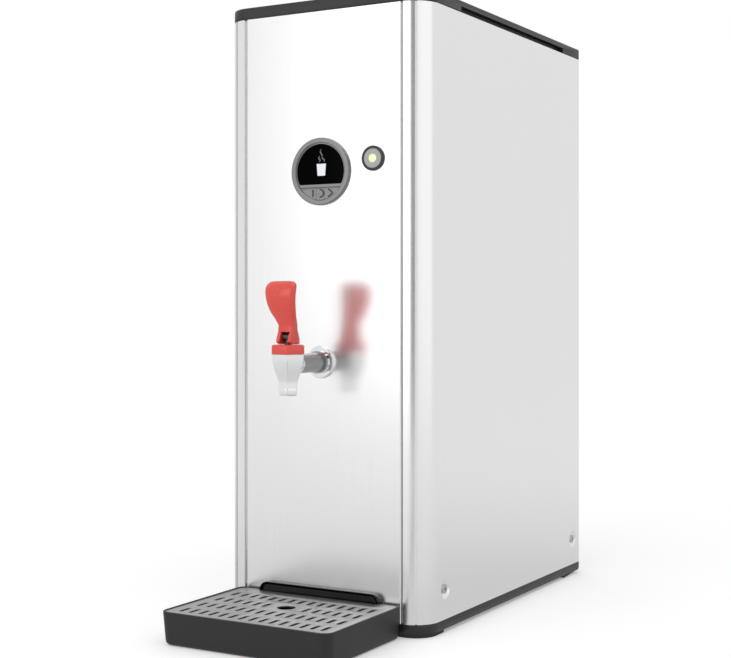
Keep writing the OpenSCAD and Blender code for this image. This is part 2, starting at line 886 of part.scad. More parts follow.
module button_lamp() {
  dome = 0.5;
  color("#f2f6c4") place() {
    rod_y(button_x, button_z, 0.4 - button_out, 2, lamp_r);
    intersection() {
      translate([button_x, lamp_r * lamp_r / 2 / dome + dome / 2 - dome + 0.4 - button_out, button_z])
        sphere(lamp_r * lamp_r / 2 / dome + dome / 2);
      rod_y(button_x, button_z, -button_out - over, 1, lamp_r);
    }
  }
}

module button_nut() {
  color("#8c8f92") place() difference() {
    translate([button_x, sheet_t, button_z]) rotate([-90, 0, 0]) cylinder(h = 3, r = button_barrel_r + 4, $fn = 6);
    rod_y(button_x, button_z, 0, 6, button_barrel_r + snug);
  }
}

module button_switch() {
  start = plunger_end + cap_travel + 0.2;
  color("#202123") place() {
    rod_y(button_x, button_z, start, button_barrel_d, plunger_r);
    translate([button_x - 9, button_barrel_d, button_z - 9]) cube([18, 12, 18]);
    for (s = [-1, 1])
      translate([button_x + s * 5 - 2, button_barrel_d + 11, button_z - 0.4]) cube([4, 9, 0.8]);
  }
}

// Tap --------------------------------------------------------------------------------

// Corner radius of the tap body at heights measured from the shank axis
tap_rows = [[-tap_down, hex_r * 0.5], [-tap_down + 0.7, hex_r * 0.52], [-tap_down * 0.71, hex_r * 0.565],
  [-tap_down * 0.55, hex_r * 0.585], [-tap_down * 0.35, hex_r * 0.71], [-tap_down * 0.13, hex_r * 0.855],
  [tap_up * 0.33, hex_r * 0.962], [tap_up, hex_r]];

module on_tap() {
  place() translate([0, -tap_reach, 0]) children();
}

module tap_body() {
  steps = 18;
  rings = [for (k = [0 : steps])
    let (t = k == 0 ? -tap_down : -tap_down + 0.7 + (tap_up + tap_down - 0.7) * (k - 1) / (steps - 1))
    hex_ring(smooth(tap_rows, t, 1), tap_z + t, 1.4)];
  color("#d5d7d9") on_tap() difference() {
    union() {
      skin(rings);
      rod_y(0, tap_z, 5, tap_reach - boss_end, shank_r);
    }
    rod_z(0, 0, seat_z, body_top + over, chamber_r);
    rod_z(0, 0, nozzle_z - over, seat_z + over, outlet_r);
    rod_y(0, tap_z, 0, tap_reach, shank_r - 2 + snug);
  }
}

// Shank from the tap body through the panel, with a thread and a hose barb
module tap_shank() {
  color("#6f7174") place() difference() {
    union() {
      rod_y(0, tap_z, chamber_r + 0.4 - tap_reach, -boss_end, shank_r - 2);
      rod_y(0, tap_z, -boss_end, -rosette_out, shank_r);
      rod_y(0, tap_z, -rosette_out - 3, -rosette_out, collar_r);
      rod_y(0, tap_z, -rosette_out - snug, tail_end, tail_r);
      rod_y(0, tap_z, tail_end - snug, barb_end, hose_in + 0.5);
      for (y = [tail_end + 2, tail_end + 6])
        translate([0, y, tap_z]) rotate([-90, 0, 0]) cylinder(h = 4, r1 = barb_r, r2 = hose_in + 0.4);
    }
    rod_y(0, tap_z, -tap_reach, barb_end + over, water_r - 0.6);
  }
}

// Chromed rosette: a shallow dome with a flat seat for the shank collar
module tap_rosette() {
  back = 0.01;
  color("#dfe2e5") place() turn_front(0, tap_z) difference() {
    union() {
      translate([tail_r + snug, back]) square([rosette_r - 1 - tail_r - snug, rosette_out - back - 1.5]);
      translate([tail_r + snug, rosette_out - 2]) square([collar_r - tail_r, 2]);
      translate([rosette_r - 1, 1 + back]) circle(1);
      translate([rosette_r - 1.01, back]) square([0.5, 1]);
    }
    translate([collar_r + 4.8, rosette_out + 2.2]) circle(3.6);
  }
}

module tap_washer() {
  color("#26272a") place() difference() {
    rod_y(0, tap_z, sheet_t, sheet_t + washer_t, 12);
    rod_y(0, tap_z, 0, 5, tail_r + snug);
  }
}

module tap_nut() {
  y = sheet_t + washer_t;
  color("#b5a26a") place() difference() {
    translate([0, y, tap_z]) rotate([-90, 0, 0]) cylinder(h = nut_t, r = 13.8, $fn = 6);
    rod_y(0, tap_z, y - over, y + nut_t + over, tail_r + snug);
  }
}

// Six-sided screw cap of the tap with a soft upper edge
module tap_bonnet() {
  rings = [hex_ring(hex_r - 0.4, body_top, 1.6), hex_ring(hex_r, body_top + 0.4, 1.8),
    hex_ring(hex_r, bonnet_top - 2, 2), hex_ring(hex_r - 0.3, bonnet_top - 1, 2.2),
    hex_ring(hex_r - 1, bonnet_top - 0.3, 2.6), hex_ring(hex_r - 2, bonnet_top, 3)];
  color("#dd5a50") on_tap() difference() {
    union() {
      skin(rings);
      rod_z(0, 0, body_top - spigot_h, body_top + over, chamber_r - snug);
    }
    rod_z(0, 0, body_top - spigot_h - over, ceiling_z, spigot_r);
    rod_z(0, 0, ceiling_z - over, bonnet_top + over, stem_r + slide_gap);
  }
}

// The heel of the lever is a cam: its height under the pin grows evenly with the tilt,
// so the lever lifts the stem by lift_per_rad for every radian
function cam_point(a) =
  let (h = cam_base + lift_per_rad * a * PI / 180)
  [-h * sin(a) - lift_per_rad * cos(a), -h * cos(a) + lift_per_rad * sin(a)];

// Paddle sections: height over the pin, half width, half depth, shift of the middle
lever_rows = [[2, 6, 6.4, -0.2], [5.5, 5.9, 5.4, -0.1], [9.2, 5.9, 4.4, -0.2],
  [lever_h * 0.31, lever_half * 0.635, 4.3, -3.4], [lever_h * 0.5, lever_half * 0.857, 4.4, -9.1],
  [lever_h * 0.73, lever_half, 4.5, -11.9], [lever_h * 0.875, lever_half, 4.3, -10.8],
  [lever_h * 0.96, lever_half * 0.9, 3.3, -10], [lever_h, lever_half * 0.7, 1.2, -9.6]];

module tap_lever() {
  steps = 30;
  first = lever_rows[0][0];
  rings = [for (k = [0 : steps])
    let (t = first + (lever_h - first) * (1 - pow(1 - k / steps, 1.35)))
    paddle_ring(smooth(lever_rows, t, 1), smooth(lever_rows, t, 2), smooth(lever_rows, t, 3), t)];
  cam = [for (a = [0 : 5 : lever_tilt + 1]) cam_point(a)];
  web = 5;
  color("#d9463d") on_tap() translate([0, 0, pin_z]) difference() {
    union() {
      skin(rings);
      push_x(-cheek_out, cheek_out)
        polygon(concat([[6.2, 6], [7.4, -2], [7.4, -cam_base + 1.2], [6.4, -cam_base]], cam, [[-8, -1.5], [-6, 6]]));
    }
    translate([-cheek_in, -20, -cam_base - over]) cube([2 * cheek_in, 40, cam_base + over + web]);
    rod_x(0, 0, -20, 20, pin_r + pin_gap);
  }
}

module tap_pin() {
  color("#b8babd") on_tap() rod_x(0, pin_z, snug - cheek_out, cheek_out - snug, pin_r);
}

// Stem with an eye for the lever pin and a collar under the spring
module tap_stem() {
  color("#c2c5c8") on_tap() difference() {
    union() {
      rod_z(0, 0, seat_z + 2, pin_z, stem_r);
      rod_x(0, pin_z, slide_gap - cheek_in, cheek_in - slide_gap, eye_r);
      rod_z(0, 0, cup_top, cup_top + collar_t, 6);
    }
    rod_x(0, pin_z, -over - cheek_in, cheek_in + over, pin_r + 0.01);
  }
}

// Soft cup that closes the outlet from above
module tap_seat_cup() {
  color("#c9ccd0") on_tap() difference() {
    union() {
      rod_z(0, 0, seat_z + 0.1, seat_z + 3.5, 7.8);
      translate([0, 0, seat_z + 3.4]) cylinder(h = 1.6, r1 = 7.8, r2 = 5);
      rod_z(0, 0, seat_z + 4, cup_top, 5);
    }
    rod_z(0, 0, seat_z + 2, cup_top + over, stem_r + 0.01);
  }
}

// Closing spring round the stem, as one wound wire
module tap_spring() {
  wire_r = 0.45;
  coil_r = 5.2;
  turns = 4;
  low = cup_top + collar_t + wire_r + 0.1;
  pitch = (ceiling_z - 0.1 - wire_r - low) / turns;
  sides = 6;
  rings = [for (k = [0 : turns * 16])
    let (a = 360 * k / 16, z = low + pitch * k / 16)
    [for (i = [0 : sides - 1])
      let (b = 360 * i / sides, r = coil_r + wire_r * sin(b))
      [r * cos(a), r * sin(a), z + wire_r * cos(b)]]];
  color("#b4b7ba") on_tap() skin(rings);
}

// Soft hose from the tap's barb up to the tank port
module outlet_hose() {
  bend_y = port_y - hose_bend;
  top = tank_z - 5;
  color("#e6e4dc") place() {
    difference() {
      rod_y(0, tap_z, tail_end + 1, bend_y, hose_r);
      rod_y(0, tap_z, tail_end, bend_y + over, hose_in);
      rod_y(0, tap_z, tail_end, barb_end + snug, barb_r + snug);
    }
    translate([0, bend_y, tap_z + hose_bend]) rotate([0, 90, 0]) rotate_extrude(angle = 90)
      translate([hose_bend, 0]) difference() {
        circle(hose_r);
        circle(hose_in);
      }
    difference() {
      rod_z(0, port_y, tap_z + hose_bend, top, hose_r);
      rod_z(0, port_y, tap_z + hose_bend - over, top + over, hose_in);
      rod_z(0, port_y, tank_z - foam_t - snug, top + over, hose_in + 0.9);
    }
  }
}

// Clips round both ends of the outlet hose
module hose_clips() {
  color("#9a9da0") place() {
    difference() {
      rod_y(0, tap_z, tail_end + 4, tail_end + 10, hose_r + 1.2);
      rod_y(0, tap_z, tail_end, tail_end + 12, hose_r + snug);
    }
    difference() {
      rod_z(0, port_y, shelf_z + shelf_t + 1, shelf_z + shelf_t + 6, hose_r + 1.2);
      rod_z(0, port_y, shelf_z, shelf_z + 12, hose_r + snug);
    }
  }
}

// Drip tray --------------------------------------------------------------------------

// Outer tray section at a height, drawn in from the outside
function tray_ring(z, inset, r) =
  let (s = 1 - z / tray_h)
  rect_ring(tray_half - tray_draft * s - inset, front_draft * s + inset - tray_front,
    -tray_gap - inset, r, z);

module drip_tray() {
  edge = [for (a = [0 : 15 : 90])
    tray_ring(tray_edge_r * (1 - cos(a)), tray_edge_r * (1 - sin(a)), tray_r - 0.4)];
  wall = rim_w + ledge_w;
  floor_t = 2.5;
  inner = [tray_ring(floor_t, wall + 3, tray_r - 4), tray_ring(floor_t + 0.9, wall + 0.9, tray_r - 4),
    tray_ring(floor_t + 3, wall, tray_r - 4), tray_ring(tray_h, wall, tray_r - 4)];
  cut_w = tray_half - rim_w;
  color("#3c3d3f") place() {
    difference() {
      skin(concat(edge, [tray_ring(tray_h - 0.6, 0, tray_r), tray_ring(tray_h, 0.4, tray_r - 0.4)]));
      skin(inner);
      slab(grille_z, tray_h) translate([0, -(tray_front + tray_gap) / 2])
        round_rect(2 * cut_w, tray_front - tray_gap - 2 * rim_w, tray_r - rim_w);
    }
    for (s = [-1, 1])
      translate([s * 28 - 1, 20 - tray_front, floor_t - snug]) cube([2, tray_front - 36, grille_z - floor_t]);
  }
}

// Outline of the hook piece: an arch with round upper corners
module hook_outline(inset = 0) {
  x = hook_half - inset;
  r = hook_r - inset;
  top = hook_top - inset;
  translate([-x, grille_z]) square([2 * x, top - r - grille_z]);
  translate([r - x, grille_z]) square([2 * (x - r), top - grille_z]);
  intersection() {
    translate([-x, grille_z]) square([2 * x, top - grille_z]);
    for (s = [-1, 1])
      translate([s * (x - r), top - r]) circle(r);
  }
}

// Black arch behind the grille with two tongues that hook into the front panel
module tray_hook() {
  bead = 2.6;
  wall_y = -tray_gap - rim_w;
  color("#161617") place() {
    difference() {
      push_y(-tray_gap - hook_d, -seat) hook_outline();
      push_y(-tray_gap - hook_d - over, 1.6 - tray_gap - hook_d) hook_outline(bead);
      translate([-side_x, wall_y, 0]) cube([body_w, 2 * over - wall_y, tray_h]);
    }
    for (s = [-1, 1])
      translate([s * tongue_x - tongue_w / 2, -seat - snug, tongue_z]) cube([tongue_w, tongue_end, tongue_h]);
  }
}

// Steel grille: four rows of long slots and the large hole under the nozzle
module drip_grille() {
  gap = 0.3;
  mid = -(tray_front + tray_gap) / 2;
  w = 2 * (tray_half - rim_w - gap);
  d = tray_front - tray_gap - 2 * (rim_w + gap);
  columns = 7;
  first_y = hole_y - 2 * slot_pitch_y + 0.5;
  color("#c7c9cb") place() slab(grille_z, grille_t) difference() {
    translate([0, mid]) round_rect(w, d, tray_r - rim_w - gap);
    translate([-hook_half - gap, -tray_gap - hook_d - gap]) square([2 * (hook_half + gap), 2 * hook_d]);
    for (i = [-columns : columns], j = [0 : 3])
      if (abs(i) > 1 || j != 2)
        translate([i * slot_pitch_x, first_y + j * slot_pitch_y])
          slot_outline(grille_slot_l, grille_slot_w);
    translate([0, hole_y]) circle(drip_hole_r);
  }
}

// Tank and fittings ------------------------------------------------------------------

// Shelf on two side frames that stand on the floor plate
module tank_stand() {
  low = base_top + plate_t;
  color("#aeb1b4") place() difference() {
    union() {
      translate([-leg_x, leg_front, shelf_z]) cube([2 * leg_x, leg_back - leg_front, shelf_t]);
      both() translate([leg_x - plate_t, leg_front, low]) cube([plate_t, leg_back - leg_front, shelf_z - low + over]);
      both() translate([leg_x - 14, leg_front, low]) cube([14, leg_back - leg_front, plate_t]);
    }
    rod_z(0, port_y, shelf_z - over, shelf_z + shelf_t + over, hose_r + 3);
    both() push_x(leg_x - plate_t - over, leg_x + over)
      translate([(leg_front + leg_back) / 2, (low + shelf_z) / 2])
        round_rect(leg_back - leg_front - 2 * post_w, shelf_z - low - post_w - 10, 15);
  }
}

cover_points = [for (s = [-1, 1], k = [0 : 3])
  [s * (tank_w / 2 + rim_over / 2), tank_front + tank_w / 2 + k * (tank_l - tank_w) / 3]];

// Open-topped tank with a flanged rim and an outlet port in its floor
module tank() {
  color("#c3c6c9") place() difference() {
    union() {
      slab(tank_z, tank_h) translate([0, tank_front]) obround(tank_w, tank_l);
      slab(tank_top - rim_t, rim_t) translate([0, tank_front - rim_over])
        obround(tank_w + 2 * rim_over, tank_l + 2 * rim_over);
      rod_z(0, port_y, tank_z - foam_t, tank_z + over, hose_in + 0.9 - snug);
      rod_y(0, element_z, tank_back - flange_r / 2, tank_back, flange_r + 2);
    }
    slab(tank_z + tank_t, tank_h) translate([0, tank_front + tank_t]) obround(tank_w - 2 * tank_t, tank_l - 2 * tank_t);
    rod_z(0, port_y, tank_z - foam_t - over, tank_z + 3, hose_in - 0.6);
    rod_y(0, element_z, tank_back - flange_r, tank_back + over, element_x + 5);
    for (p = cover_points)
      rod_z(p[0], p[1], tank_top - rim_t - over, tank_top + over, small_r);
  }
}

module tank_gasket() {
  color("#b0503c") place() slab(tank_top, gasket_t) difference() {
    translate([0, tank_front - rim_over + 0.5]) obround(tank_w + 2 * rim_over - 1, tank_l + 2 * rim_over - 1);
    translate([0, tank_front]) obround(tank_w, tank_l);
    for (p = cover_points)
      translate(p) circle(small_r);
  }
}

probe_y = tank_front + 90;
sensor_x = 40;

// Cover plate with a stiffening bead and stubs for supply, vent, probe and sensor
module tank_cover() {
  color("#cdd0d2") place() difference() {
    union() {
      slab(cover_top - cover_t, cover_t) translate([0, tank_front - rim_over])
        obround(tank_w + 2 * rim_over, tank_l + 2 * rim_over);
      slab(cover_top - 0.1, 1.6) difference() {
        translate([0, tank_front + 14]) obround(tank_w - 28, tank_l - 28);
        translate([0, tank_front + 20]) obround(tank_w - 40, tank_l - 40);
      }
      for (s = [-1, 1])
        rod_z(s * inlet_x, supply_y, cover_top - over, supply_z, supply_in - snug);
    }
    for (s = [-1, 1])
      rod_z(s * inlet_x, supply_y, cover_top - 5, supply_z + over, supply_in - 1);
    for (p = cover_points)
      rod_z(p[0], p[1], cover_top - cover_t - over, cover_top + over, small_r);
    rod_z(-sensor_x, probe_y, cover_top - 5, cover_top + over, 9 + screw_gap);
    rod_z(sensor_x, probe_y, cover_top - 5, cover_top + over, 4 + screw_gap);
  }
}

module cover_screws() {
  color("#a8abae") place() for (p = cover_points)
    translate([p[0], p[1], cover_top]) rotate([-90, 0, 0]) screw(9);
}

// Foam jacket round and under the tank
module insulation() {
  top = tank_top - rim_t - seat;
  color("#d8cfa8") place() difference() {
    slab(shelf_z + shelf_t, top - shelf_z - shelf_t) translate([0, tank_front - foam_t])
      obround(tank_w + 2 * foam_t, tank_l + 2 * foam_t);
    slab(tank_z, tank_h) translate([0, tank_front]) obround(tank_w, tank_l);
    rod_z(0, port_y, shelf_z, tank_z + over, hose_r + 2);
    translate([-32, tank_back - 8, tank_z]) cube([64, foam_t + 20, 92]);
    for (p = cover_points)
      rod_z(p[0], p[1], tank_top - rim_t - 14, tank_top, small_r + over);
  }
}

// Tubular heater: flange and head outside the tank, U-shaped tube inside
module heating_element() {
  front = tank_back - element_l;
  color("#a9a59c") place() {
    for (s = [-1, 1])
      rod_y(s * element_x, element_z, front, tank_back + 4, 4);
    translate([0, front, element_z]) rotate([0, 0, 180]) rotate_extrude(angle = 180)
      translate([element_x, 0]) circle(4);
    rod_y(0, element_z, tank_back, tank_back + 4, flange_r);
    translate([0, tank_back + 3, element_z]) rotate([-90, 0, 0]) cylinder(h = 12, r = 20, $fn = 6);
    for (s = [-1, 1])
      rod_y(s * element_x / 2, element_z, tank_back + 14, tank_back + 24, 2);
  }
}

// Plug with three level rods
module level_probe() {
  ends = [for (share = [0.2, 0.5, 0.7]) tank_z + share * tank_h];
  color("#e8e6df") place() {
    rod_z(-sensor_x, probe_y, cover_top - cover_t - 8, cover_top + over, 9);
    rod_z(-sensor_x, probe_y, cover_top, cover_top + 8, 12);
    for (k = [0 : 2])
      rod_z(-sensor_x + 5 * (k - 1), probe_y, ends[k], cover_top + 14, 1.2);
  }
}

module temperature_sensor() {
  color("#9fa2a5") place() {
    rod_z(sensor_x, probe_y, tank_z + 0.4 * tank_h, cover_top + over, 4);
    translate([sensor_x, probe_y, cover_top]) cylinder(h = 6, r = 8, $fn = 6);
    rod_z(sensor_x, probe_y, cover_top + 5, cover_top + 12, 3);
  }
}

// Cut-out clipped to the back of the tank above the heater
module overheat_cutout() {
  z = element_z + 44;
  color("#3a3a3c") place() {
    rod_y(0, z, tank_back, tank_back + 8, 10);
    for (s = [-1, 1])
      translate([s * 5 - 2, tank_back + 7, z - 0.4]) cube([4, 8, 0.8]);
    translate([-15, tank_back, z - 4]) cube([30, 1.5, 8]);
  }
}

// Supply valve: threaded inlet through the back, outlet pointing up
module inlet_valve() {
  flange = 4;
  neck_end = rear_face + 5;
  color("#d9d7cf") place() difference() {
    union() {
      rod_y(inlet_x, entry_z, rear_in - flange, rear_in, inlet_r + 5);
      rod_y(inlet_x, entry_z, rear_in - over, neck_end + over, inlet_r - 1);
      rod_y(inlet_x, entry_z, neck_end, body_d + inlet_out, inlet_r);
      rod_y(inlet_x, entry_z, rise_y - valve_r + 3, rear_in - over, valve_r - 3);
      rod_z(inlet_x, rise_y, entry_z, entry_z + 34, supply_in - snug);
    }
    rod_y(inlet_x, entry_z, body_d - 6, body_d + inlet_out + over, inlet_r - 3);
    rod_y(inlet_x, entry_z, rise_y, body_d, 4);
    rod_z(inlet_x, rise_y, entry_z, entry_z + 40, supply_in - 1);
  }
}

// Magnet coil in front of the valve
module valve_coil() {
  back = rise_y - valve_r + 3;
  color("#8e3b30") place() {
    rod_y(inlet_x, entry_z, back - 8, back, 8);
    translate([inlet_x - 15, back - 36, entry_z - 15]) cube([30, 30, 30]);
    for (s = [-1, 1])
      translate([inlet_x + s * 6 - 3, back - 44, entry_z + 4]) cube([6, 9, 0.8]);
  }
}

// Tube that rises behind the tank, bends forward over the cover and down onto a stub
module riser(x, low, outer, inner) {
  high = supply_z + 4;
  end_z = supply_z - 8;
  difference() {
    rod_z(x, rise_y, low, high, outer);
    rod_z(x, rise_y, low - over, high + over, inner);
  }
  difference() {
    rod_z(x, supply_y, end_z, high, outer);
    rod_z(x, supply_y, end_z - over, high + over, inner);
  }
  difference() {
    rod_y(x, high + supply_bend, supply_y + supply_bend, rise_y - supply_bend, outer);
    rod_y(x, high + supply_bend, supply_y, rise_y, inner);
  }
  for (end = [[rise_y - supply_bend, 0], [supply_y + supply_bend, 90]])
    translate([x, end[0], high]) rotate([end[1], 0, 0]) rotate([90, 0, 90]) rotate_extrude(angle = 90)
      translate([supply_bend, 0]) difference() {
        circle(outer);
        circle(inner);
      }
}

module inlet_hose() {
  color("#e9e7e0") place() riser(inlet_x, entry_z + 20, supply_r, supply_in);
}

module vent_tube() {
  color("#dcdad2") place() riser(-inlet_x, base_top, supply_r, supply_in);
}

// Main circuit board with relays, transformer, heat sink and plug rows
module control_board() {
  color("#2f6b3a") place() translate([board_x, board_front, board_low]) {
    cube([board_t, board_len, board_tall]);
    for (k = [0 : 2])
      translate([-16, 10 + 24 * k, 14]) cube([16.1, 18, 28]);
    translate([-28, 96, 14]) cube([28.1, 38, 34]);
    translate([-9, 12, board_tall - 22]) cube([9.1, 90, 12]);
    for (k = [0 : 5])
      translate([-22, 112 + 5 * k, 70]) cube([22.1, 2, 52]);
    translate([-3, 112, 70]) cube([3.1, 27, 52]);
    translate([-3, 30, 66]) cube([3.1, 22, 22]);
  }
}

module board_standoffs() {
  color("#c9b26b") place() for (y = [8, board_len - 8], z = [7, board_tall - 7])
    rod_x(board_front + y, board_low + z, board_x + board_t, leg_x - plate_t, 3);
}

module terminal_block() {
  w = 58;
  low = base_top + plate_t;
  color("#e1dfd6") place() difference() {
    union() {
      translate([-gland_x - w / 2 + 10, rear_in - 60, low]) cube([w, 22, 16]);
      translate([-gland_x - w / 2 + 10, rear_in - 55, low]) cube([w, 12, 22]);
    }
    for (k = [0 : 4])
      rod_z(-gland_x - w / 2 + 15.6 + 11.6 * k, rear_in - 49, low + 8, low + 30, 3);
  }
}

// Cable gland: hex body and domed nut outside, lock nut inside
module cable_gland() {
  thread_r = gland_bore + 4;
  color("#262729") place() difference() {
    union() {
      rod_y(-gland_x, entry_z, rear_in - 8, rear_face + over, thread_r);
      translate([-gland_x, rear_in - 5, entry_z]) rotate([-90, 0, 0]) cylinder(h = 5, r = thread_r + 4.5, $fn = 6);
      translate([-gland_x, rear_face, entry_z]) rotate([-90, 0, 0]) cylinder(h = 6, r = thread_r + 4, $fn = 6);
      rod_y(-gland_x, entry_z, rear_face + 5, rear_face + 12, thread_r + 2);
      translate([-gland_x, rear_face + 11.9, entry_z]) rotate([-90, 0, 0])
        cylinder(h = 5, r1 = thread_r + 2, r2 = thread_r - 1);
    }
    rod_y(-gland_x, entry_z, rear_in - 10, rear_face + 20, gland_bore);
  }
}

// Drawing ----------------------------------------------------------------------------

base_pan();
feet();
floor_plate();
front_panel();
left_corner_trim();
right_corner_trim();
left_side_panel();
right_side_panel();
rear_panel();
lid();
side_screws();
rear_screws();
display_bezel();
display_window();
display_housing();
display_board();
key_left();
key_middle();
key_right();
button_bezel();
button_cap();
button_lamp();
button_nut();
button_switch();
tap_body();
tap_shank();
tap_rosette();
tap_washer();
tap_nut();
tap_bonnet();
tap_lever();
tap_pin();
tap_stem();
tap_seat_cup();
tap_spring();
outlet_hose();
hose_clips();
drip_tray();
tray_hook();
drip_grille();
tank_stand();
tank();
tank_gasket();
tank_cover();
cover_screws();
insulation();
heating_element();
level_probe();
temperature_sensor();
overheat_cutout();
inlet_valve();
valve_coil();
inlet_hose();
vent_tube();
control_board();
board_standoffs();
terminal_block();
cable_gland();
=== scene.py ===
"""Dresses the hot water urn: finishes of every surface, softly shaped pieces, studio and camera."""

import json
import math

import bmesh
import bpy
import numpy as np
from bpy.props import FloatProperty, FloatVectorProperty, IntProperty, PointerProperty
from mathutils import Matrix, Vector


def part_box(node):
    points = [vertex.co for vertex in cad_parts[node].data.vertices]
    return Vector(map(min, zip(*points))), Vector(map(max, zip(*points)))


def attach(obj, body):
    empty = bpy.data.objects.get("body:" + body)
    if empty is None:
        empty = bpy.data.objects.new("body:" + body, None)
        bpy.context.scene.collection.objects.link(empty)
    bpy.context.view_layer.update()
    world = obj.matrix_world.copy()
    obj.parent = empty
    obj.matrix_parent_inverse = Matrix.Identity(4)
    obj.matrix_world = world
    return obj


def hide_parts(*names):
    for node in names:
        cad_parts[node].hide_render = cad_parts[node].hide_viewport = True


bl_info = {
    "name": "Hot Water Urn Finish",
    "version": (1, 0, 0),
    "blender": (4, 5, 0),
    "location": "3D View > Sidebar > Urn",
    "description": "Finishes, soft shapes, studio and camera of a counter-top hot water urn",
    "category": "Object",
}

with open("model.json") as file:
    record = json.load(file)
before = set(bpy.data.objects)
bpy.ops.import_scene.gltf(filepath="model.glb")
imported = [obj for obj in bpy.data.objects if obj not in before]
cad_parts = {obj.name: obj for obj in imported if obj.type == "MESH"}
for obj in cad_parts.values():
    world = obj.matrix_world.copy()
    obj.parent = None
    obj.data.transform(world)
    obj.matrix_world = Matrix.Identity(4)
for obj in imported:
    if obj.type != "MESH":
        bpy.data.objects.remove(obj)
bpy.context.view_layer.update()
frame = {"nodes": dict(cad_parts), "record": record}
RECORD = frame["record"]
BODY_OF = {n: b for b, names in RECORD["behaviour"]["bodies"].items() for n in names}
BASE_OF = {m["slot"]: tuple(m["base_color"][:3]) for m in RECORD["materials"]}
MM = 0.001
PAD_H = 3.1 * MM  # height of the corner pads, and of the base pan's underside
BEVEL_D, BEVEL_H = 14 * MM, 4.6 * MM  # depth and height of the bevel under the rear edge
HEX_LOSS = 0.155  # how far a hexagon's corner falls short, as a share of its rounding's radius


# ---------------------------------------------------------------- shapes worked out on grids


def place_mesh(name, mesh, material, body, replaced=()):
    """Links a finished mesh as a piece that rides on a body and wears the material it is given."""
    piece = bpy.data.objects.new(name, mesh)
    bpy.context.scene.collection.objects.link(piece)
    mesh.materials.clear()
    mesh.materials.append(material)
    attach(piece, body)
    if replaced:
        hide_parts(*replaced)
    return piece


def shell_mesh(name, shells, smooth=True):
    """One mesh from closed shells. Each shell is a stack of rings, an array of rows, points and
    three coordinates: neighbouring rings are joined by four-sided faces, each ring is closed on
    itself, and the first and last ring are closed by a fan round their middle point."""
    verts, faces = [], []
    start = 0
    for rings in shells:
        rows, count = rings.shape[:2]
        index = start + np.arange(rows * count).reshape(rows, count)
        beside = np.roll(index, -1, axis=1)
        quads = np.stack([index[:-1], beside[:-1], beside[1:], index[1:]], axis=-1).reshape(-1, 4)
        low, high = start + rows * count, start + rows * count + 1
        first = np.stack([beside[0], index[0], np.full(count, low)], axis=-1)
        last = np.stack([index[-1], beside[-1], np.full(count, high)], axis=-1)
        verts.append(np.vstack([rings.reshape(-1, 3), rings[0].mean(0), rings[-1].mean(0)]))
        faces += quads.tolist() + first.tolist() + last.tolist()
        start += rows * count + 2
    mesh = bpy.data.meshes.new(name)
    mesh.from_pydata(np.vstack(verts).tolist(), [], faces)
    if smooth:
        mesh.shade_smooth()
    mesh.update()
    return mesh


def smooth_rows(rows, t):
    """Values at places t through rows of (place, value, value, ...), along a smooth cubic curve
    whose slope at each row is that of the line between its two neighbours."""
    rows = np.asarray(rows, float)
    place = rows[:, 0]
    slope = np.gradient(rows[:, 1:], place, axis=0)
    i = np.clip(np.searchsorted(place, t, side="right") - 1, 0, len(place) - 2)
    h = (place[i + 1] - place[i])[:, None]
    s = ((t - place[i]) / (place[i + 1] - place[i]))[:, None]
    a, b = rows[i, 1:], rows[i + 1, 1:]
    ma, mb = slope[i] * h, slope[i + 1] * h
    return (
        (2 * s**3 - 3 * s**2 + 1) * a
        + (s**3 - 2 * s**2 + s) * ma
        + (3 * s**2 - 2 * s**3) * b
        + (s**3 - s**2) * mb
    )


def hex_rings(radius, height, soft, steps=9):
    """Rings of a hexagon with rounded corners: round each of six corners an arc of 60 degrees
    is drawn, whose centre lies on the corner's own line. One ring for each radius and height."""
    corner = np.radians(60.0 * np.repeat(np.arange(6), steps))
    turn = corner + np.radians(np.tile(np.linspace(-30, 30, steps), 6))
    radius, height, soft = (np.asarray(v, float)[:, None] for v in (radius, height, soft))
    middle = radius - soft / math.cos(math.radians(30))
    x = middle * np.cos(corner) + soft * np.cos(turn)
    y = middle * np.sin(corner) + soft * np.sin(turn)
    return np.stack([x, y, np.broadcast_to(height, x.shape)], axis=-1)


def box_rings(half_x, front, back, radius, height, steps=10):
    """Rings of a rectangle with round corners, from half width, front and back depth, corner
    radius and height, one ring for each set of values."""
    corner = np.repeat(np.arange(4), steps)
    turn = np.radians(90.0 * corner + np.tile(np.linspace(0, 90, steps), 4))
    sign_x = np.where((corner == 0) | (corner == 3), 1.0, -1.0)
    rear = corner < 2
    half_x, front, back, radius, height = (
        np.asarray(v, float)[:, None] for v in (half_x, front, back, radius, height)
    )
    x = sign_x * (half_x - radius) + radius * np.cos(turn)
    y = np.where(rear, back - radius, front + radius) + radius * np.sin(turn)
    return np.stack([x, y, np.broadcast_to(height, x.shape)], axis=-1)


def round_rings(radius, height, count):
    """Rings of a circle, one for each radius and height."""
    turn = np.linspace(0, 2 * math.pi, count, endpoint=False)
    radius = np.asarray(radius, float)[:, None]
    x, y = radius * np.cos(turn), radius * np.sin(turn)
    return np.stack([x, y, np.broadcast_to(np.asarray(height, float)[:, None], x.shape)], axis=-1)


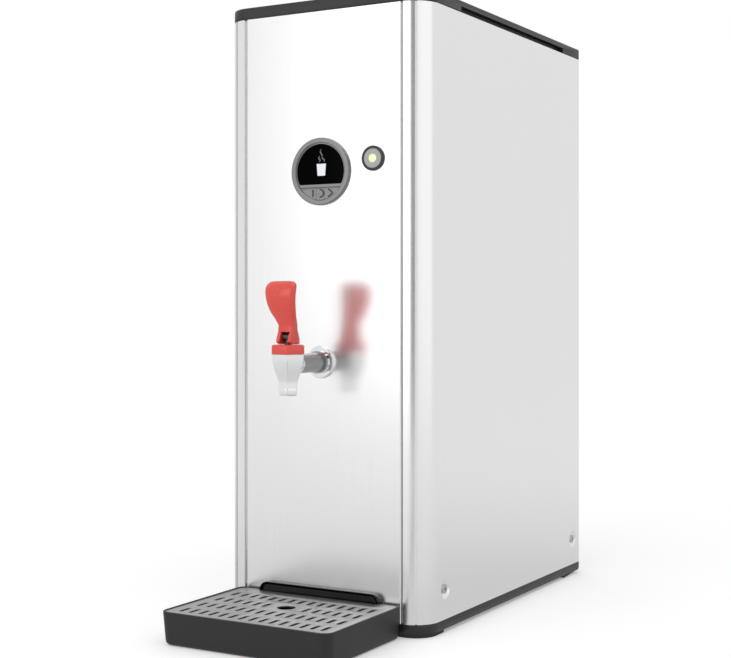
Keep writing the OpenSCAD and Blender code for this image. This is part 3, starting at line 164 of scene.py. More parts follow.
def softened(node, width, material, angle=30.0):
    """A copy of a fixed node whose loose triangles are merged and whose sharp edges are rounded
    by a narrow bevel, so that they catch the light as moulded or pressed edges do."""
    mesh = frame["nodes"][node].data.copy()
    work = bmesh.new()
    work.from_mesh(mesh)
    bmesh.ops.remove_doubles(work, verts=work.verts, dist=1e-6)
    bmesh.ops.dissolve_limit(work, angle_limit=math.radians(0.3), verts=work.verts, edges=work.edges)
    work.to_mesh(mesh)
    work.free()
    mesh.shade_smooth()
    piece = place_mesh(node + "_dressed", mesh, material, BODY_OF[node], (node,))
    bevel = piece.modifiers.new("edge", "BEVEL")
    bevel.width = width
    bevel.segments = 2
    bevel.limit_method = "ANGLE"
    bevel.angle_limit = math.radians(angle)
    bevel.harden_normals = True
    bevel.miter_outer = "MITER_ARC"
    return piece


# ---------------------------------------------------------------- finishes


def new_group(name, inputs, outputs):
    """An empty shader node group with named inputs and outputs."""
    group = bpy.data.node_groups.new(name, "ShaderNodeTree")
    for label, kind, default in inputs:
        socket = group.interface.new_socket(name=label, in_out="INPUT", socket_type=kind)
        socket.default_value = default
    for label, kind in outputs:
        group.interface.new_socket(name=label, in_out="OUTPUT", socket_type=kind)
    start = group.nodes.new("NodeGroupInput")
    end = group.nodes.new("NodeGroupOutput")
    return group, start, end


def add(tree, kind, **values):
    """A node of a kind, with its properties set by name and its inputs by their number."""
    node = tree.nodes.new(kind)
    for key, value in values.items():
        if key.startswith("in_"):
            node.inputs[int(key[3:])].default_value = value
        else:
            setattr(node, key, value)
    return node


def math_node(tree, operation, a, b=None, clamp=False):
    """A Math node fed by sockets or plain numbers."""
    node = add(tree, "ShaderNodeMath", operation=operation, use_clamp=clamp)
    for i, value in enumerate((a, b)):
        if value is None:
            continue
        if isinstance(value, (int, float)):
            node.inputs[i].default_value = value
        else:
            tree.links.new(value, node.inputs[i])
    return node.outputs[0]


def build_grain_group():
    """Brushed metal: long thin streaks that vary the colour and roughness, with wide soft
    patches from handling, and a height for a fine bump."""
    group, start, end = new_group(
        "brushed_grain",
        [
            ("Color", "NodeSocketColor", (0.8, 0.8, 0.8, 1)),
            ("Stretch", "NodeSocketVector", (1.0, 1.0, 1.0)),
            ("Contrast", "NodeSocketFloat", 0.05),
            ("Roughness", "NodeSocketFloat", 0.3),
            ("Spread", "NodeSocketFloat", 0.06),
        ],
        [("Color", "NodeSocketColor"), ("Roughness", "NodeSocketFloat"), ("Height", "NodeSocketFloat")],
    )
    link = group.links.new
    place = add(group, "ShaderNodeTexCoord")
    scaled = add(group, "ShaderNodeVectorMath", operation="MULTIPLY")
    link(place.outputs["Object"], scaled.inputs[0])
    link(start.outputs["Stretch"], scaled.inputs[1])
    streaks = add(group, "ShaderNodeTexNoise", in_2=1.0, in_3=4.0, in_4=0.65)
    link(scaled.outputs[0], streaks.inputs["Vector"])
    patches = add(group, "ShaderNodeTexNoise", in_2=9.0, in_3=2.0, in_4=0.5)
    link(place.outputs["Object"], patches.inputs["Vector"])
    streak = math_node(group, "SUBTRACT", streaks.outputs[0], 0.5)
    patch = math_node(group, "SUBTRACT", patches.outputs[0], 0.5)
    shade = math_node(group, "MULTIPLY", streak, start.outputs["Contrast"])
    shade = math_node(group, "ADD", shade, 1.0)
    tint = add(group, "ShaderNodeVectorMath", operation="SCALE")
    link(start.outputs["Color"], tint.inputs[0])
    link(shade, tint.inputs[3])
    link(tint.outputs[0], end.inputs["Color"])
    both = math_node(group, "ADD", streak, patch)
    rough = math_node(group, "MULTIPLY", both, start.outputs["Spread"])
    link(math_node(group, "ADD", rough, start.outputs["Roughness"], True), end.inputs["Roughness"])
    link(streaks.outputs[0], end.inputs["Height"])
    return group


def build_mould_group():
    """Moulded surface: a fine even grain with faint cloudy colour and worn, smoother patches."""
    group, start, end = new_group(
        "moulded_grain",
        [
            ("Color", "NodeSocketColor", (0.1, 0.1, 0.1, 1)),
            ("Grain size", "NodeSocketFloat", 1500.0),
            ("Cloud", "NodeSocketFloat", 0.1),
            ("Roughness", "NodeSocketFloat", 0.5),
            ("Spread", "NodeSocketFloat", 0.1),
        ],
        [("Color", "NodeSocketColor"), ("Roughness", "NodeSocketFloat"), ("Height", "NodeSocketFloat")],
    )
    link = group.links.new
    place = add(group, "ShaderNodeTexCoord")
    grain = add(group, "ShaderNodeTexNoise", in_3=2.0, in_4=0.5)
    link(place.outputs["Object"], grain.inputs["Vector"])
    link(start.outputs["Grain size"], grain.inputs["Scale"])
    cloud = add(group, "ShaderNodeTexNoise", in_2=35.0, in_3=3.0, in_4=0.55)
    link(place.outputs["Object"], cloud.inputs["Vector"])
    patch = math_node(group, "SUBTRACT", cloud.outputs[0], 0.5)
    shade = math_node(group, "ADD", math_node(group, "MULTIPLY", patch, start.outputs["Cloud"]), 1.0)
    tint = add(group, "ShaderNodeVectorMath", operation="SCALE")
    link(start.outputs["Color"], tint.inputs[0])
    link(shade, tint.inputs[3])
    link(tint.outputs[0], end.inputs["Color"])
    rough = math_node(group, "MULTIPLY", patch, start.outputs["Spread"])
    link(math_node(group, "ADD", rough, start.outputs["Roughness"], True), end.inputs["Roughness"])
    link(grain.outputs[0], end.inputs["Height"])
    return group


GROUPS = {}


def group_of(name):
    """The shared node group of that name, built when it is first asked for."""
    makers = {"brushed_grain": build_grain_group, "moulded_grain": build_mould_group}
    if name not in GROUPS:
        GROUPS[name] = makers[name]()
    return GROUPS[name]


def dressed_material(name, group, values, bump, **shader):
    """A Principled material whose colour, roughness and bump come from a shared group."""
    material = bpy.data.materials.new(name)
    material.use_nodes = True
    tree = material.node_tree
    bsdf = tree.nodes["Principled BSDF"]
    effect = tree.nodes.new("ShaderNodeGroup")
    effect.node_tree = group_of(group)
    for label, value in values.items():
        effect.inputs[label].default_value = value
    tree.links.new(effect.outputs["Color"], bsdf.inputs["Base Color"])
    tree.links.new(effect.outputs["Roughness"], bsdf.inputs["Roughness"])
    if bump:
        relief = add(tree, "ShaderNodeBump")
        relief.inputs["Strength"].default_value = bump[0]
        relief.inputs["Distance"].default_value = bump[1]
        tree.links.new(effect.outputs["Height"], relief.inputs["Height"])
        tree.links.new(relief.outputs["Normal"], bsdf.inputs["Normal"])
    for label, value in shader.items():
        bsdf.inputs[label.replace("_", " ")].default_value = value
    return material


def brushed(name, color, stretch, contrast=0.06, rough=0.3, spread=0.06, bump=(0.03, 0.0002), **shader):
    """Metal with streaks along the axis that is stretched least."""
    values = {"Color": (*color, 1), "Stretch": stretch, "Contrast": contrast, "Roughness": rough,
              "Spread": spread}
    return dressed_material(name, "brushed_grain", values, bump, Metallic=1.0, **shader)


def moulded(name, color, rough=0.5, spread=0.1, cloud=0.12, grain=1500.0, bump=(0.12, 0.0001), **shader):
    """Plastic, rubber or paint with a moulded grain."""
    values = {"Color": (*color, 1), "Grain size": grain, "Cloud": cloud, "Roughness": rough,
              "Spread": spread}
    return dressed_material(name, "moulded_grain", values, bump, **shader)


def sleek(name, color, rough=0.5, spread=0.1, cloud=0.1, **shader):
    """Print, glass or clear plastic: a moulded material without relief."""
    return moulded(name, color, rough, spread, cloud, 900.0, None, **shader)


def glowing(material, color, strength):
    """Adds a glow of a plain colour to a material."""
    bsdf = material.node_tree.nodes["Principled BSDF"]
    bsdf.inputs["Emission Color"].default_value = (*color, 1)
    bsdf.inputs["Emission Strength"].default_value = strength
    return material


def wear(material, *nodes):
    """Puts a material on fixed nodes."""
    for node in nodes:
        mesh = frame["nodes"][node].data
        mesh.materials.clear()
        mesh.materials.append(material)


# ---------------------------------------------------------------- sizes and colours


def color_property(name, description, default):
    """A property that holds a colour."""
    return FloatVectorProperty(name=name, description=description, subtype="COLOR", size=3, min=0, max=1,
                               default=default)


class UrnCasing(bpy.types.PropertyGroup):
    """Finish of the steel cabinet, its lid and its base."""

    steel: color_property("Steel", "Colour of the brushed panels", (0.9, 0.9, 0.905))
    steel_rough: FloatProperty(name="Steel roughness", description="Blur of what the panels mirror",
                               default=0.25, min=0, max=1)
    plastic: color_property("Plastic", "Colour of lid and base", (0.0165, 0.017, 0.0175))
    edge: FloatProperty(name="Edge", description="Width of the rounding on moulded edges",
                        default=0.4 * MM, unit="LENGTH")


class UrnTap(bpy.types.PropertyGroup):
    """Shape and finish of the tap."""

    steel: color_property("Steel", "Colour of the polished body", (0.88, 0.885, 0.89))
    red: color_property("Red", "Colour of lever and bonnet", (0.77, 0.064, 0.044))
    paddle: FloatProperty(name="Paddle", description="Half width of the lever's paddle",
                          default=14.9 * MM, min=10 * MM, max=20 * MM, unit="LENGTH")
    lever_rings: IntProperty(name="Lever rings", description="Sections along the lever",
                             default=90, min=20, max=200)


class UrnTray(bpy.types.PropertyGroup):
    """Finish of the drip tray and its grille."""

    plastic: color_property("Plastic", "Colour of the tray", (0.013, 0.0132, 0.0136))
    black: color_property("Black", "Colour of the hook piece", (0.004, 0.004, 0.0045))
    steel: color_property("Steel", "Colour of the grille", (0.415, 0.415, 0.42))


class UrnDisplay(bpy.types.PropertyGroup):
    """Finish of display and power button."""

    ring: color_property("Ring", "Colour of the ring and its keys", (0.245, 0.247, 0.25))
    symbol: color_property("Symbol", "Colour of the cup on the window", (0.66, 0.68, 0.72))
    steam: color_property("Steam", "Colour of the steam over the cup", (0.1, 0.1, 0.11))
    mark: color_property("Mark", "Colour of the marks on the keys", (0.06, 0.06, 0.062))
    cap: color_property("Cap", "Colour of the power button's cap", (0.42, 0.42, 0.4))
    glow: color_property("Glow", "Colour of the lit dot", (0.88, 0.93, 0.55))


class UrnStudio(bpy.types.PropertyGroup):
    """Camera and light."""

    lens: FloatProperty(name="Lens", description="Focal length in millimetres", default=69.08)
    turn: FloatProperty(name="Turn", description="How far the camera looks to its left",
                        default=math.radians(29.973), subtype="ANGLE")
    place: FloatVectorProperty(name="Place", description="Where the camera stands",
                               size=3, subtype="TRANSLATION", default=(0.6568, -1.18455, 0.2889))
    shift: FloatVectorProperty(name="Shift", description="Shift of the picture against the lens",
                               size=2, default=(-0.0007, -0.0376))
    room: FloatProperty(name="Room", description="Strength of the even light from all sides",
                        default=0.72, min=0)
    mirrored: FloatProperty(name="Mirrored room", description="How bright metal sees the white room",
                            default=0.83, min=0)
    key: FloatProperty(name="Key light", description="Power of the large light at the front left",
                       default=9.7, min=0, unit="POWER")
    top: FloatProperty(name="Top light", description="Power of the light from above",
                       default=7.0, min=0, unit="POWER")


# ---------------------------------------------------------------- the pieces


UPRIGHT = (900.0, 900.0, 5.0)  # streaks that run up and down
TURNED = (80.0, 80.0, 900.0)  # fine marks round an upright axis
ACROSS = (300.0, 40.0, 300.0)  # marks on small turned or bent pieces


class URN_OT_casing(bpy.types.Operator):
    """Brushed panels, trims, lid, base, feet and screws"""

    bl_idname = "urn.casing"
    bl_label = "Casing"

    def execute(self, context):
        look = context.scene.urn_casing
        steel = brushed("brushed_steel", look.steel, UPRIGHT, 0.05, look.steel_rough, 0.05)
        wear(steel, "front_panel", "left_corner_trim", "right_corner_trim",
             "left_side_panel", "right_side_panel")
        zinc = brushed("zinc_sheet", BASE_OF["galvanised_steel"], (60.0, 60.0, 45.0), 0.3, 0.42, 0.2)
        wear(zinc, "rear_panel", "floor_plate", "tank_stand")
        plastic = moulded("dark_plastic", look.plastic, 0.42, 0.12)
        softened("lid", look.edge, plastic)
        self.settled(softened("base_pan", look.edge, plastic).data)
        rubber = moulded("foot_rubber", BASE_OF["foot_rubber"], 0.75, 0.15, 0.3, 700.0)
        wear(rubber, "tap_washer")
        self.feet(rubber)
        screw = brushed("screw_steel", BASE_OF["screw_steel"], ACROSS, 0.2, 0.3, 0.15)
        wear(screw, "side_screws", "rear_screws", "cover_screws", "hose_clips", "button_nut")
        return {"FINISHED"}

    @staticmethod
    def settled(mesh):
        """Lifts the underside of the base pan to the top of the corner pads, and draws the lower
        and the upper line of the bevel under the rear edge to where the new underside asks."""
        flat = np.empty(len(mesh.vertices) * 3)
        mesh.vertices.foreach_get("co", flat)
        place = flat.reshape(-1, 3)
        _, y, z = place.T
        rear = y.max()
        lower = (z < PAD_H) & (y > rear - 9.5 * MM) & (y < rear - 8 * MM)
        upper = (z > PAD_H) & (z < 6.2 * MM) & (y > rear - 0.01 * MM)
        y[lower] = rear - 4.6 * MM
        z[:] = np.maximum(z, PAD_H)
        z[upper] = BEVEL_H
        mesh.vertices.foreach_set("co", place.ravel())
        mesh.update()

    @staticmethod
    def feet(rubber):
        """Four corner pads: rings of a rectangle with one corner rounded like the cabinet's,
        from the counter up to the base pan; the rear pads' underside rises to the back."""
        low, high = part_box("base_pan")
        wide, inside, chamfer = 44 * MM, 1 * MM, 0.5 * MM
        turn = np.radians(np.linspace(0, 90, 14))
        shells = []
        for side in (-1, 1):
            for rear, deep, radius in ((False, 34 * MM, 21 * MM), (True, 40 * MM, 3 * MM)):
                outer_x = (high.x - inside) * side
                outer_y = high.y - inside if rear else low.y + inside
                rings = []
                for inset, z in ((chamfer, 0.0), (0.0, chamfer), (0.0, PAD_H + 0.05 * MM)):
                    r = radius - inset
                    cx, cy = wide - inset - r, deep - inset - r
                    arc = np.column_stack([cx + r * np.sin(turn), cy + r * np.cos(turn)])
                    loop = np.vstack([[[inset, inset], [inset, deep - inset]], arc, [[wide - inset, inset]]])
                    x = outer_x - side * (wide - loop[:, 0])
                    y = outer_y + (-1 if rear else 1) * (deep - loop[:, 1])
                    rise = np.clip((y - high.y + BEVEL_D) * BEVEL_H / BEVEL_D, 0, PAD_H) if rear else 0 * y
                    ring = np.column_stack([x, y, np.maximum(z, rise)])
                    rings.append(ring if (side > 0) == rear else ring[::-1])
                shells.append(np.stack(rings)[:, ::-1])
        mesh = shell_mesh("feet_dressed", shells)
        mesh.set_sharp_from_angle(angle=math.radians(40))
        place_mesh("feet_dressed", mesh, rubber, BODY_OF["feet"], ("feet",))


class URN_OT_display(bpy.types.Operator):
    """Ring, window, keys and the lit symbol on the window"""

    bl_idname = "urn.display"
    bl_label = "Display"

    def execute(self, context):
        look = context.scene.urn_display
        ring = moulded("silver_lacquer", look.ring, 0.3, 0.08, 0.1, 2500.0, (0.04, 0.00005), Metallic=0.9)
        wear(ring, "display_bezel", "key_left", "key_middle", "key_right")
        glass = sleek("black_window", (0.0008, 0.0008, 0.001), 0.06, 0.03, 0.2, Specular_IOR_Level=0.02)
        wear(glass, "display_window")
        window_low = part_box("display_window")[0]
        cup = glowing(sleek("symbol_white", look.symbol), look.symbol, 0.35)
        steam = glowing(sleek("symbol_grey", look.steam), look.steam, 0.5)
        x, z, front = 1 * MM, window_low.z + 7.6 * MM, window_low.y
        self.mark("display_cup", [self.cup(x, z)], front, cup, "root")
        self.mark("display_steam", [self.wisp(x + s * 2.5 * MM, z + 12 * MM, s) for s in (-1, 0, 1)],
                  front, steam, "root")
        # The grey of the printed key marks also paints the shadow line in the gap round the keys: painted
        # shadow.
        dark = sleek("mark_and_shadow_grey", look.mark, 0.6)
        key_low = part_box("key_middle")[0]
        for name, ribbon, body in (
            ("key_gap_shadow", self.seam(), "root"),
            ("left_mark", self.stroke(-7.7, key_low.z), BODY_OF["key_left"]),
            ("middle_mark", self.arc(-0.4, key_low.z), BODY_OF["key_middle"]),
            ("right_mark", self.arrow(8.2, key_low.z), BODY_OF["key_right"]),
        ):
            self.mark(name, [ribbon], key_low.y, dark, body)
        board = moulded("circuit_board", BASE_OF["circuit_board"], 0.4, 0.2, 0.5, 300.0)
        wear(board, "display_board", "control_board")
        return {"FINISHED"}

    @staticmethod
    def mark(name, ribbons, front, material, body):
        """Flat ribbons on an upright face. Each is a path with half widths, carried by four
        corners: half a width to each side, and a thickness from just behind the face to just
        in front of it."""
        proud, sunk = 0.08 * MM, 0.12 * MM
        shells = []
        for path, half in ribbons:
            along = np.gradient(path, axis=0)
            along /= np.linalg.norm(along, axis=1)[:, None]
            side = np.stack([-along[:, 1], along[:, 0]], axis=-1) * half[:, None]
            near, far = np.full(len(path), front - proud), np.full(len(path), front + sunk)
            corners = ((path + side, near), (path + side, far), (path - side, far), (path - side, near))
            shells.append(np.stack([np.column_stack([edge[:, 0], depth, edge[:, 1]])
                                    for edge, depth in corners], axis=1))
        mesh = shell_mesh(name, shells, False)
        return place_mesh(name, mesh, material, body)

    @staticmethod
    def cup(x, z):
        """The cup: one upright stroke that widens evenly towards its rim."""
        t = np.linspace(0, 1, 8)
        return np.column_stack([np.full(8, x), z + 10.6 * MM * t]), MM * (3.9 + 0.9 * t)

    @staticmethod
    def wisp(x, z, side):
        """A wisp of steam: a slim upright wave that tapers at both ends; the middle one starts
        higher and leans less."""
        t = np.linspace(0, 1, 24)
        rise = (8.4 if side == 0 else 5.6) * MM
        start = z + (3.2 * MM if side == 0 else 0)
        wave = 1.0 * MM * np.sin(2 * math.pi * t) - side * 1.0 * MM * t
        return np.column_stack([x + wave, start + rise * t]), MM * (0.12 + 0.5 * np.sin(math.pi * t))

    @staticmethod
    def stroke(x, z):
        """A short upright stroke."""
        t = np.linspace(0, 1, 6)
        return np.column_stack([np.full(6, x * MM), z + (3.8 + 5.8 * t) * MM]), np.full(6, 0.65 * MM)

    @staticmethod
    def arc(x, z):
        """Half a ring that is open to the left, drawn from bottom to top."""
        turn = np.linspace(-0.52 * math.pi, 0.52 * math.pi, 24)
        return (np.column_stack([x * MM + 3.7 * MM * np.cos(turn), z + (6.3 + 3.4 * np.sin(turn)) * MM]),
                np.full(24, 0.62 * MM))

    @staticmethod
    def arrow(x, z):
        """An open arrow head that points to the right: its stroke bends where the line from
        bottom to tip meets the line from tip to top, rounded over a few points."""
        t = np.linspace(-1, 1, 25)
        reach = 1 - np.sqrt(t * t + 0.01)
        return np.column_stack([(x + 5.0 * reach) * MM, z + (6.5 + 3.5 * t) * MM]), np.full(25, 0.6 * MM)

    @staticmethod
    def seam():
        """The shadow line round the key field: a straight upper edge and the arc below it, both
        along the gap between the ring and the keys."""
        low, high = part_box("display_bezel")
        middle_z = (low.z + high.z) / 2
        radius = (high.z - low.z) / 2 - 4.3 * MM
        drop = middle_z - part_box("key_middle")[1].z - 0.3 * MM
        corner = math.asin(drop / radius)
        turn = np.linspace(-corner, -math.pi + corner, 70)
        arc = np.column_stack([radius * np.cos(turn), middle_z + radius * np.sin(turn)])
        straight = np.linspace(arc[-1], arc[0], 30)[1:]
        path = np.vstack([arc, straight])
        return path, np.full(len(path), 0.3 * MM)


class URN_OT_button(bpy.types.Operator):
    """Power button with its lit dot"""

    bl_idname = "urn.button"
    bl_label = "Power button"

    def execute(self, context):
        look = context.scene.urn_display
        wear(moulded("button_bezel_grey", (0.022, 0.023, 0.024), 0.3, 0.1), "button_bezel")
        wear(moulded("cap_grey", look.cap, 0.35, 0.1, 0.08), "button_cap")
        wear(glowing(sleek("lit_lens", look.glow, 0.25, 0.05), look.glow, 0.16), "button_lamp")
        return {"FINISHED"}


class URN_OT_tap(bpy.types.Operator):
    """Six-sided body, bonnet, shank, rosette, stem and lever of the tap"""

    bl_idname = "urn.tap"
    bl_label = "Tap"

    def execute(self, context):
        look = context.scene.urn_tap
        steel = brushed("polished_steel", look.steel, (500.0, 500.0, 60.0), 0.03, 0.14, 0.04, (0.01, 0.0001))
        self.body(steel)
        # Painted shade: the shank is the body's steel, coloured dark grey and rougher to stand in for the
        # shade on its side turned away from the light.
        dark = brushed("shank_steel", (0.4, 0.4, 0.415), (700.0, 30.0, 700.0), 0.12, 0.3, 0.1)
        wear(dark, "tap_shank")
        chrome = brushed("rosette_chrome", BASE_OF["rosette_chrome"], (400.0, 60.0, 400.0), 0.02, 0.06,
                         0.03, None)
        wear(chrome, "tap_rosette")
        red = moulded("red_plastic", look.red, 0.24, 0.06, 0.06, 1200.0, (0.03, 0.00005),
                      Coat_Weight=0.4, Coat_Roughness=0.08)
        self.bonnet(red)
        self.lever(red, look.paddle, look.lever_rings)
        stem = brushed("turned_steel", BASE_OF["stem_steel"], TURNED, 0.1, 0.25, 0.1)
        wear(stem, "tap_pin", "tap_spring")
        wear(brushed("stem_shadow_steel", (0.1, 0.1, 0.1), TURNED, 0.1, 0.4, 0.1), "tap_stem")
        return {"FINISHED"}

    def body(self, steel):
        """The body: rounded hexagons from nozzle to shoulder, with the nozzle's round bore, and
        the round boss that takes the shank."""
        low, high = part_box("tap_body")
        soft, edge_w = 3.2 * MM, 0.5 * MM
        bore_r, wall_r = 5 * MM, (high.x - low.x) / 2 + HEX_LOSS * soft
        reach = high.z - low.z
        rows = [(0, 0.5), (0.02, 0.52), (0.217, 0.565), (0.336, 0.585), (0.486, 0.71), (0.65, 0.855),
                (0.833, 0.962), (1, 1)]
        t = np.concatenate([[0], np.linspace(0.02, 1, 60)])
        radius = smooth_rows(rows, t)[:, 0] * wall_r
        outer = hex_rings(radius, low.z + t * reach, soft * radius / wall_r)
        edge = hex_rings(radius[:1] - edge_w, [low.z], [1.2 * MM])
        count = outer.shape[1]
        turn = np.arctan2(outer[0, :, 1], outer[0, :, 0])
        bore = np.stack([np.column_stack([bore_r * np.cos(turn), bore_r * np.sin(turn), np.full(count, z)])
                         for z in (low.z + 0.8 * reach, low.z + 0.4 * MM, low.z)])
        bore[-1, :, :2] *= 1.05
        shoulder = hex_rings(radius[-1:] - edge_w, [high.z], [soft - 0.3 * MM])
        rings = np.concatenate([bore, edge, outer[1:-1], outer[-1:] - [0, 0, 0.4 * MM], shoulder])
        rings[..., 1] += self.axis_y()
        boss = round_rings(np.array([8.5, 8.5, 8.2]) * MM, np.array([3, 13.6, 13.9]) * MM, 48)
        shank_z = sum(corner.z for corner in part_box("tap_shank")) / 2
        boss = np.stack([-boss[..., 0], boss[..., 2] + self.axis_y(), boss[..., 1] + shank_z], axis=-1)
        mesh = shell_mesh("tap_body_dressed", [rings, boss])
        mesh.set_sharp_from_angle(angle=math.radians(40))
        place_mesh("tap_body_dressed", mesh, steel, BODY_OF["tap_body"],
                   ("tap_body",))

    def bonnet(self, red):
        """The bonnet: a hexagon whose upper edge is rounded by shrinking rings."""
        low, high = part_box("tap_bonnet")
        wide = (high.x - low.x) / 2 + HEX_LOSS * 3 * MM
        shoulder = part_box("tap_body")[1].z
        bend = np.radians(np.linspace(0, 90, 9))
        round_r = 1.8 * MM
        radius = np.concatenate([wide - np.array([0.5, 0.1, 0]) * MM, wide - round_r * (1 - np.cos(bend))])
        height = np.concatenate([shoulder + np.array([0, 0.1, 0.5]) * MM,
                                 high.z - round_r * (1 - np.sin(bend))])
        soft = np.concatenate([[3.0 * MM] * 3, 3.2 * MM + 0.6 * MM * np.sin(bend)])
        rings = hex_rings(radius, height, soft)
        rings[..., 1] += self.axis_y()
        mesh = shell_mesh("tap_bonnet_dressed", [rings])
        place_mesh("tap_bonnet_dressed", mesh, red, BODY_OF["tap_bonnet"],
                   ("tap_bonnet",))

    def lever(self, red, paddle, count):
        """The lever: superellipse sections along a leaning middle line, over two cheeks whose
        outline is the cam that rides on the bonnet. Each row of the paddle has a height as a
        share of the whole, half a width as a share of the widest, half a depth and a lean."""
        pin_y, pin_z = self.axis_y(), sum(corner.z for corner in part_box("tap_pin")) / 2
        tall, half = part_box("tap_lever")[1].z - pin_z, paddle / MM
        rows = [(4.6 * MM, 7.1, 5.8, -0.12), (5.8 * MM, 7, 5.5, -0.1)]
        rows += [(tall * height, half * wide, deep, lean) for height, wide, deep, lean in (
            (0.2, 0.51, 4.8, -0.3), (0.31, 0.65, 4.4, -3.4), (0.42, 0.78, 4.3, -7),
            (0.56, 0.89, 4.4, -10.2), (0.75, 0.975, 4.5, -12), (0.86, 1, 4.3, -11.5),
            (0.91, 0.985, 3.9, -10.6), (0.95, 0.92, 3.2, -9.7), (0.98, 0.8, 2.2, -9),
            (0.995, 0.66, 1.3, -8.7), (1, 0.5, 0.7, -8.6))]
        t = np.linspace(rows[0][0], tall, count)
        wide, deep, shift = (smooth_rows(rows, t) * MM).T
        turn = np.linspace(0, 2 * math.pi, 64, endpoint=False)
        c, s = np.cos(turn), np.sin(turn)
        square = 3 + 4 * np.clip((16 * MM - t[:, None]) / (10 * MM), 0, 1)
        x = wide[:, None] * np.sign(c) * np.abs(c) ** (2 / square)
        y = shift[:, None] + deep[:, None] * np.sign(s) * np.abs(s) ** (2 / square)
        paddle = np.stack([x, y, np.broadcast_to(t[:, None], x.shape)], axis=-1)
        shells = [paddle, self.drop(rows), self.back_wall()] + [self.cheek(side) for side in (-1, 1)]
        mesh = shell_mesh("tap_lever_dressed", [shell + [0, pin_y, pin_z] for shell in shells])
        mesh.set_sharp_from_angle(angle=math.radians(50))
        place_mesh("tap_lever_dressed", mesh, red, BODY_OF["tap_lever"],
                   ("tap_lever",))

    @staticmethod
    def cheek(side):
        """One cheek: the outline of heel and cam, pushed from the slot to the outside, with its
        edges drawn in a little. The cam is the involute whose height over the pin grows by the
        same lift for each radian that the lever tilts."""
        base, lift = 6.0, 3.2
        a = np.radians(np.linspace(0, 45, 16))
        h = base + lift * a
        cam = np.column_stack([-h * np.sin(a) - lift * np.cos(a), -h * np.cos(a) + lift * np.sin(a)])
        back = [[3.0, 10.5], [4.4, 5.4], [6.6, 0.5], [7.4, -2.5], [7.4, 1.2 - base], [6.4, -base]]
        front = [[-8, -2], [-6.8, 1], [-4.9, 5.2], [-4.3, 10.5]]
        outline = np.vstack([back, cam, front]) * MM
        middle = outline.mean(0)
        layers = [(4.2, 0.9), (5.3, 1.0), (6.7, 1.0), (7.0, 0.985), (7.15, 0.95)]
        if side < 0:
            layers = layers[::-1]
        rings = [np.column_stack([np.full(len(outline), side * x * MM), middle + (outline - middle) * k])
                 for x, k in layers]
        return np.stack(rings)[:, ::-1]

    @staticmethod
    def back_wall():
        """The wall that closes the slot between the cheeks at the back: a box with round edges."""
        ones = np.ones(2)
        return box_rings(4.4 * MM * ones, 4.4 * MM * ones, 6 * MM * ones, 0.3 * MM * ones,
                         np.array([-4.6, 5.4]) * MM, 4)

    @staticmethod
    def drop(rows):
        """A small raised drop on the front of the paddle: rings of a drop outline, whose width
        falls to a point at the top, shrink towards its middle while their depth grows from the
        paddle's own front surface by a quarter of a millimetre."""
        turn = np.linspace(0, 2 * math.pi, 32, endpoint=False)
        grow = np.array([1.0, 0.97, 0.85, 0.6, 0.3, 0.05])[:, None]
        raised = (0.45 * np.sqrt(1 - grow**2) - 0.5 * (grow > 0.99)) * MM
        x = 1.9 * MM * np.sin(turn) * np.sin(turn / 2) ** 1.3 * grow
        z = 38.6 * MM - 2.9 * MM * np.cos(turn) * grow
        wide, deep, shift = (smooth_rows(rows, z.ravel()) * MM).T
        wide, deep, shift = (v.reshape(z.shape) for v in (wide, deep, shift))
        y = shift - deep * (1 - np.abs(x / wide) ** 3) ** (1 / 3) - raised
        return np.stack([x, y, z], axis=-1)[:, ::-1]

    @staticmethod
    def axis_y():
        """Depth of the tap's upright axis."""
        low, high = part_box("tap_pin")
        return (low.y + high.y) / 2


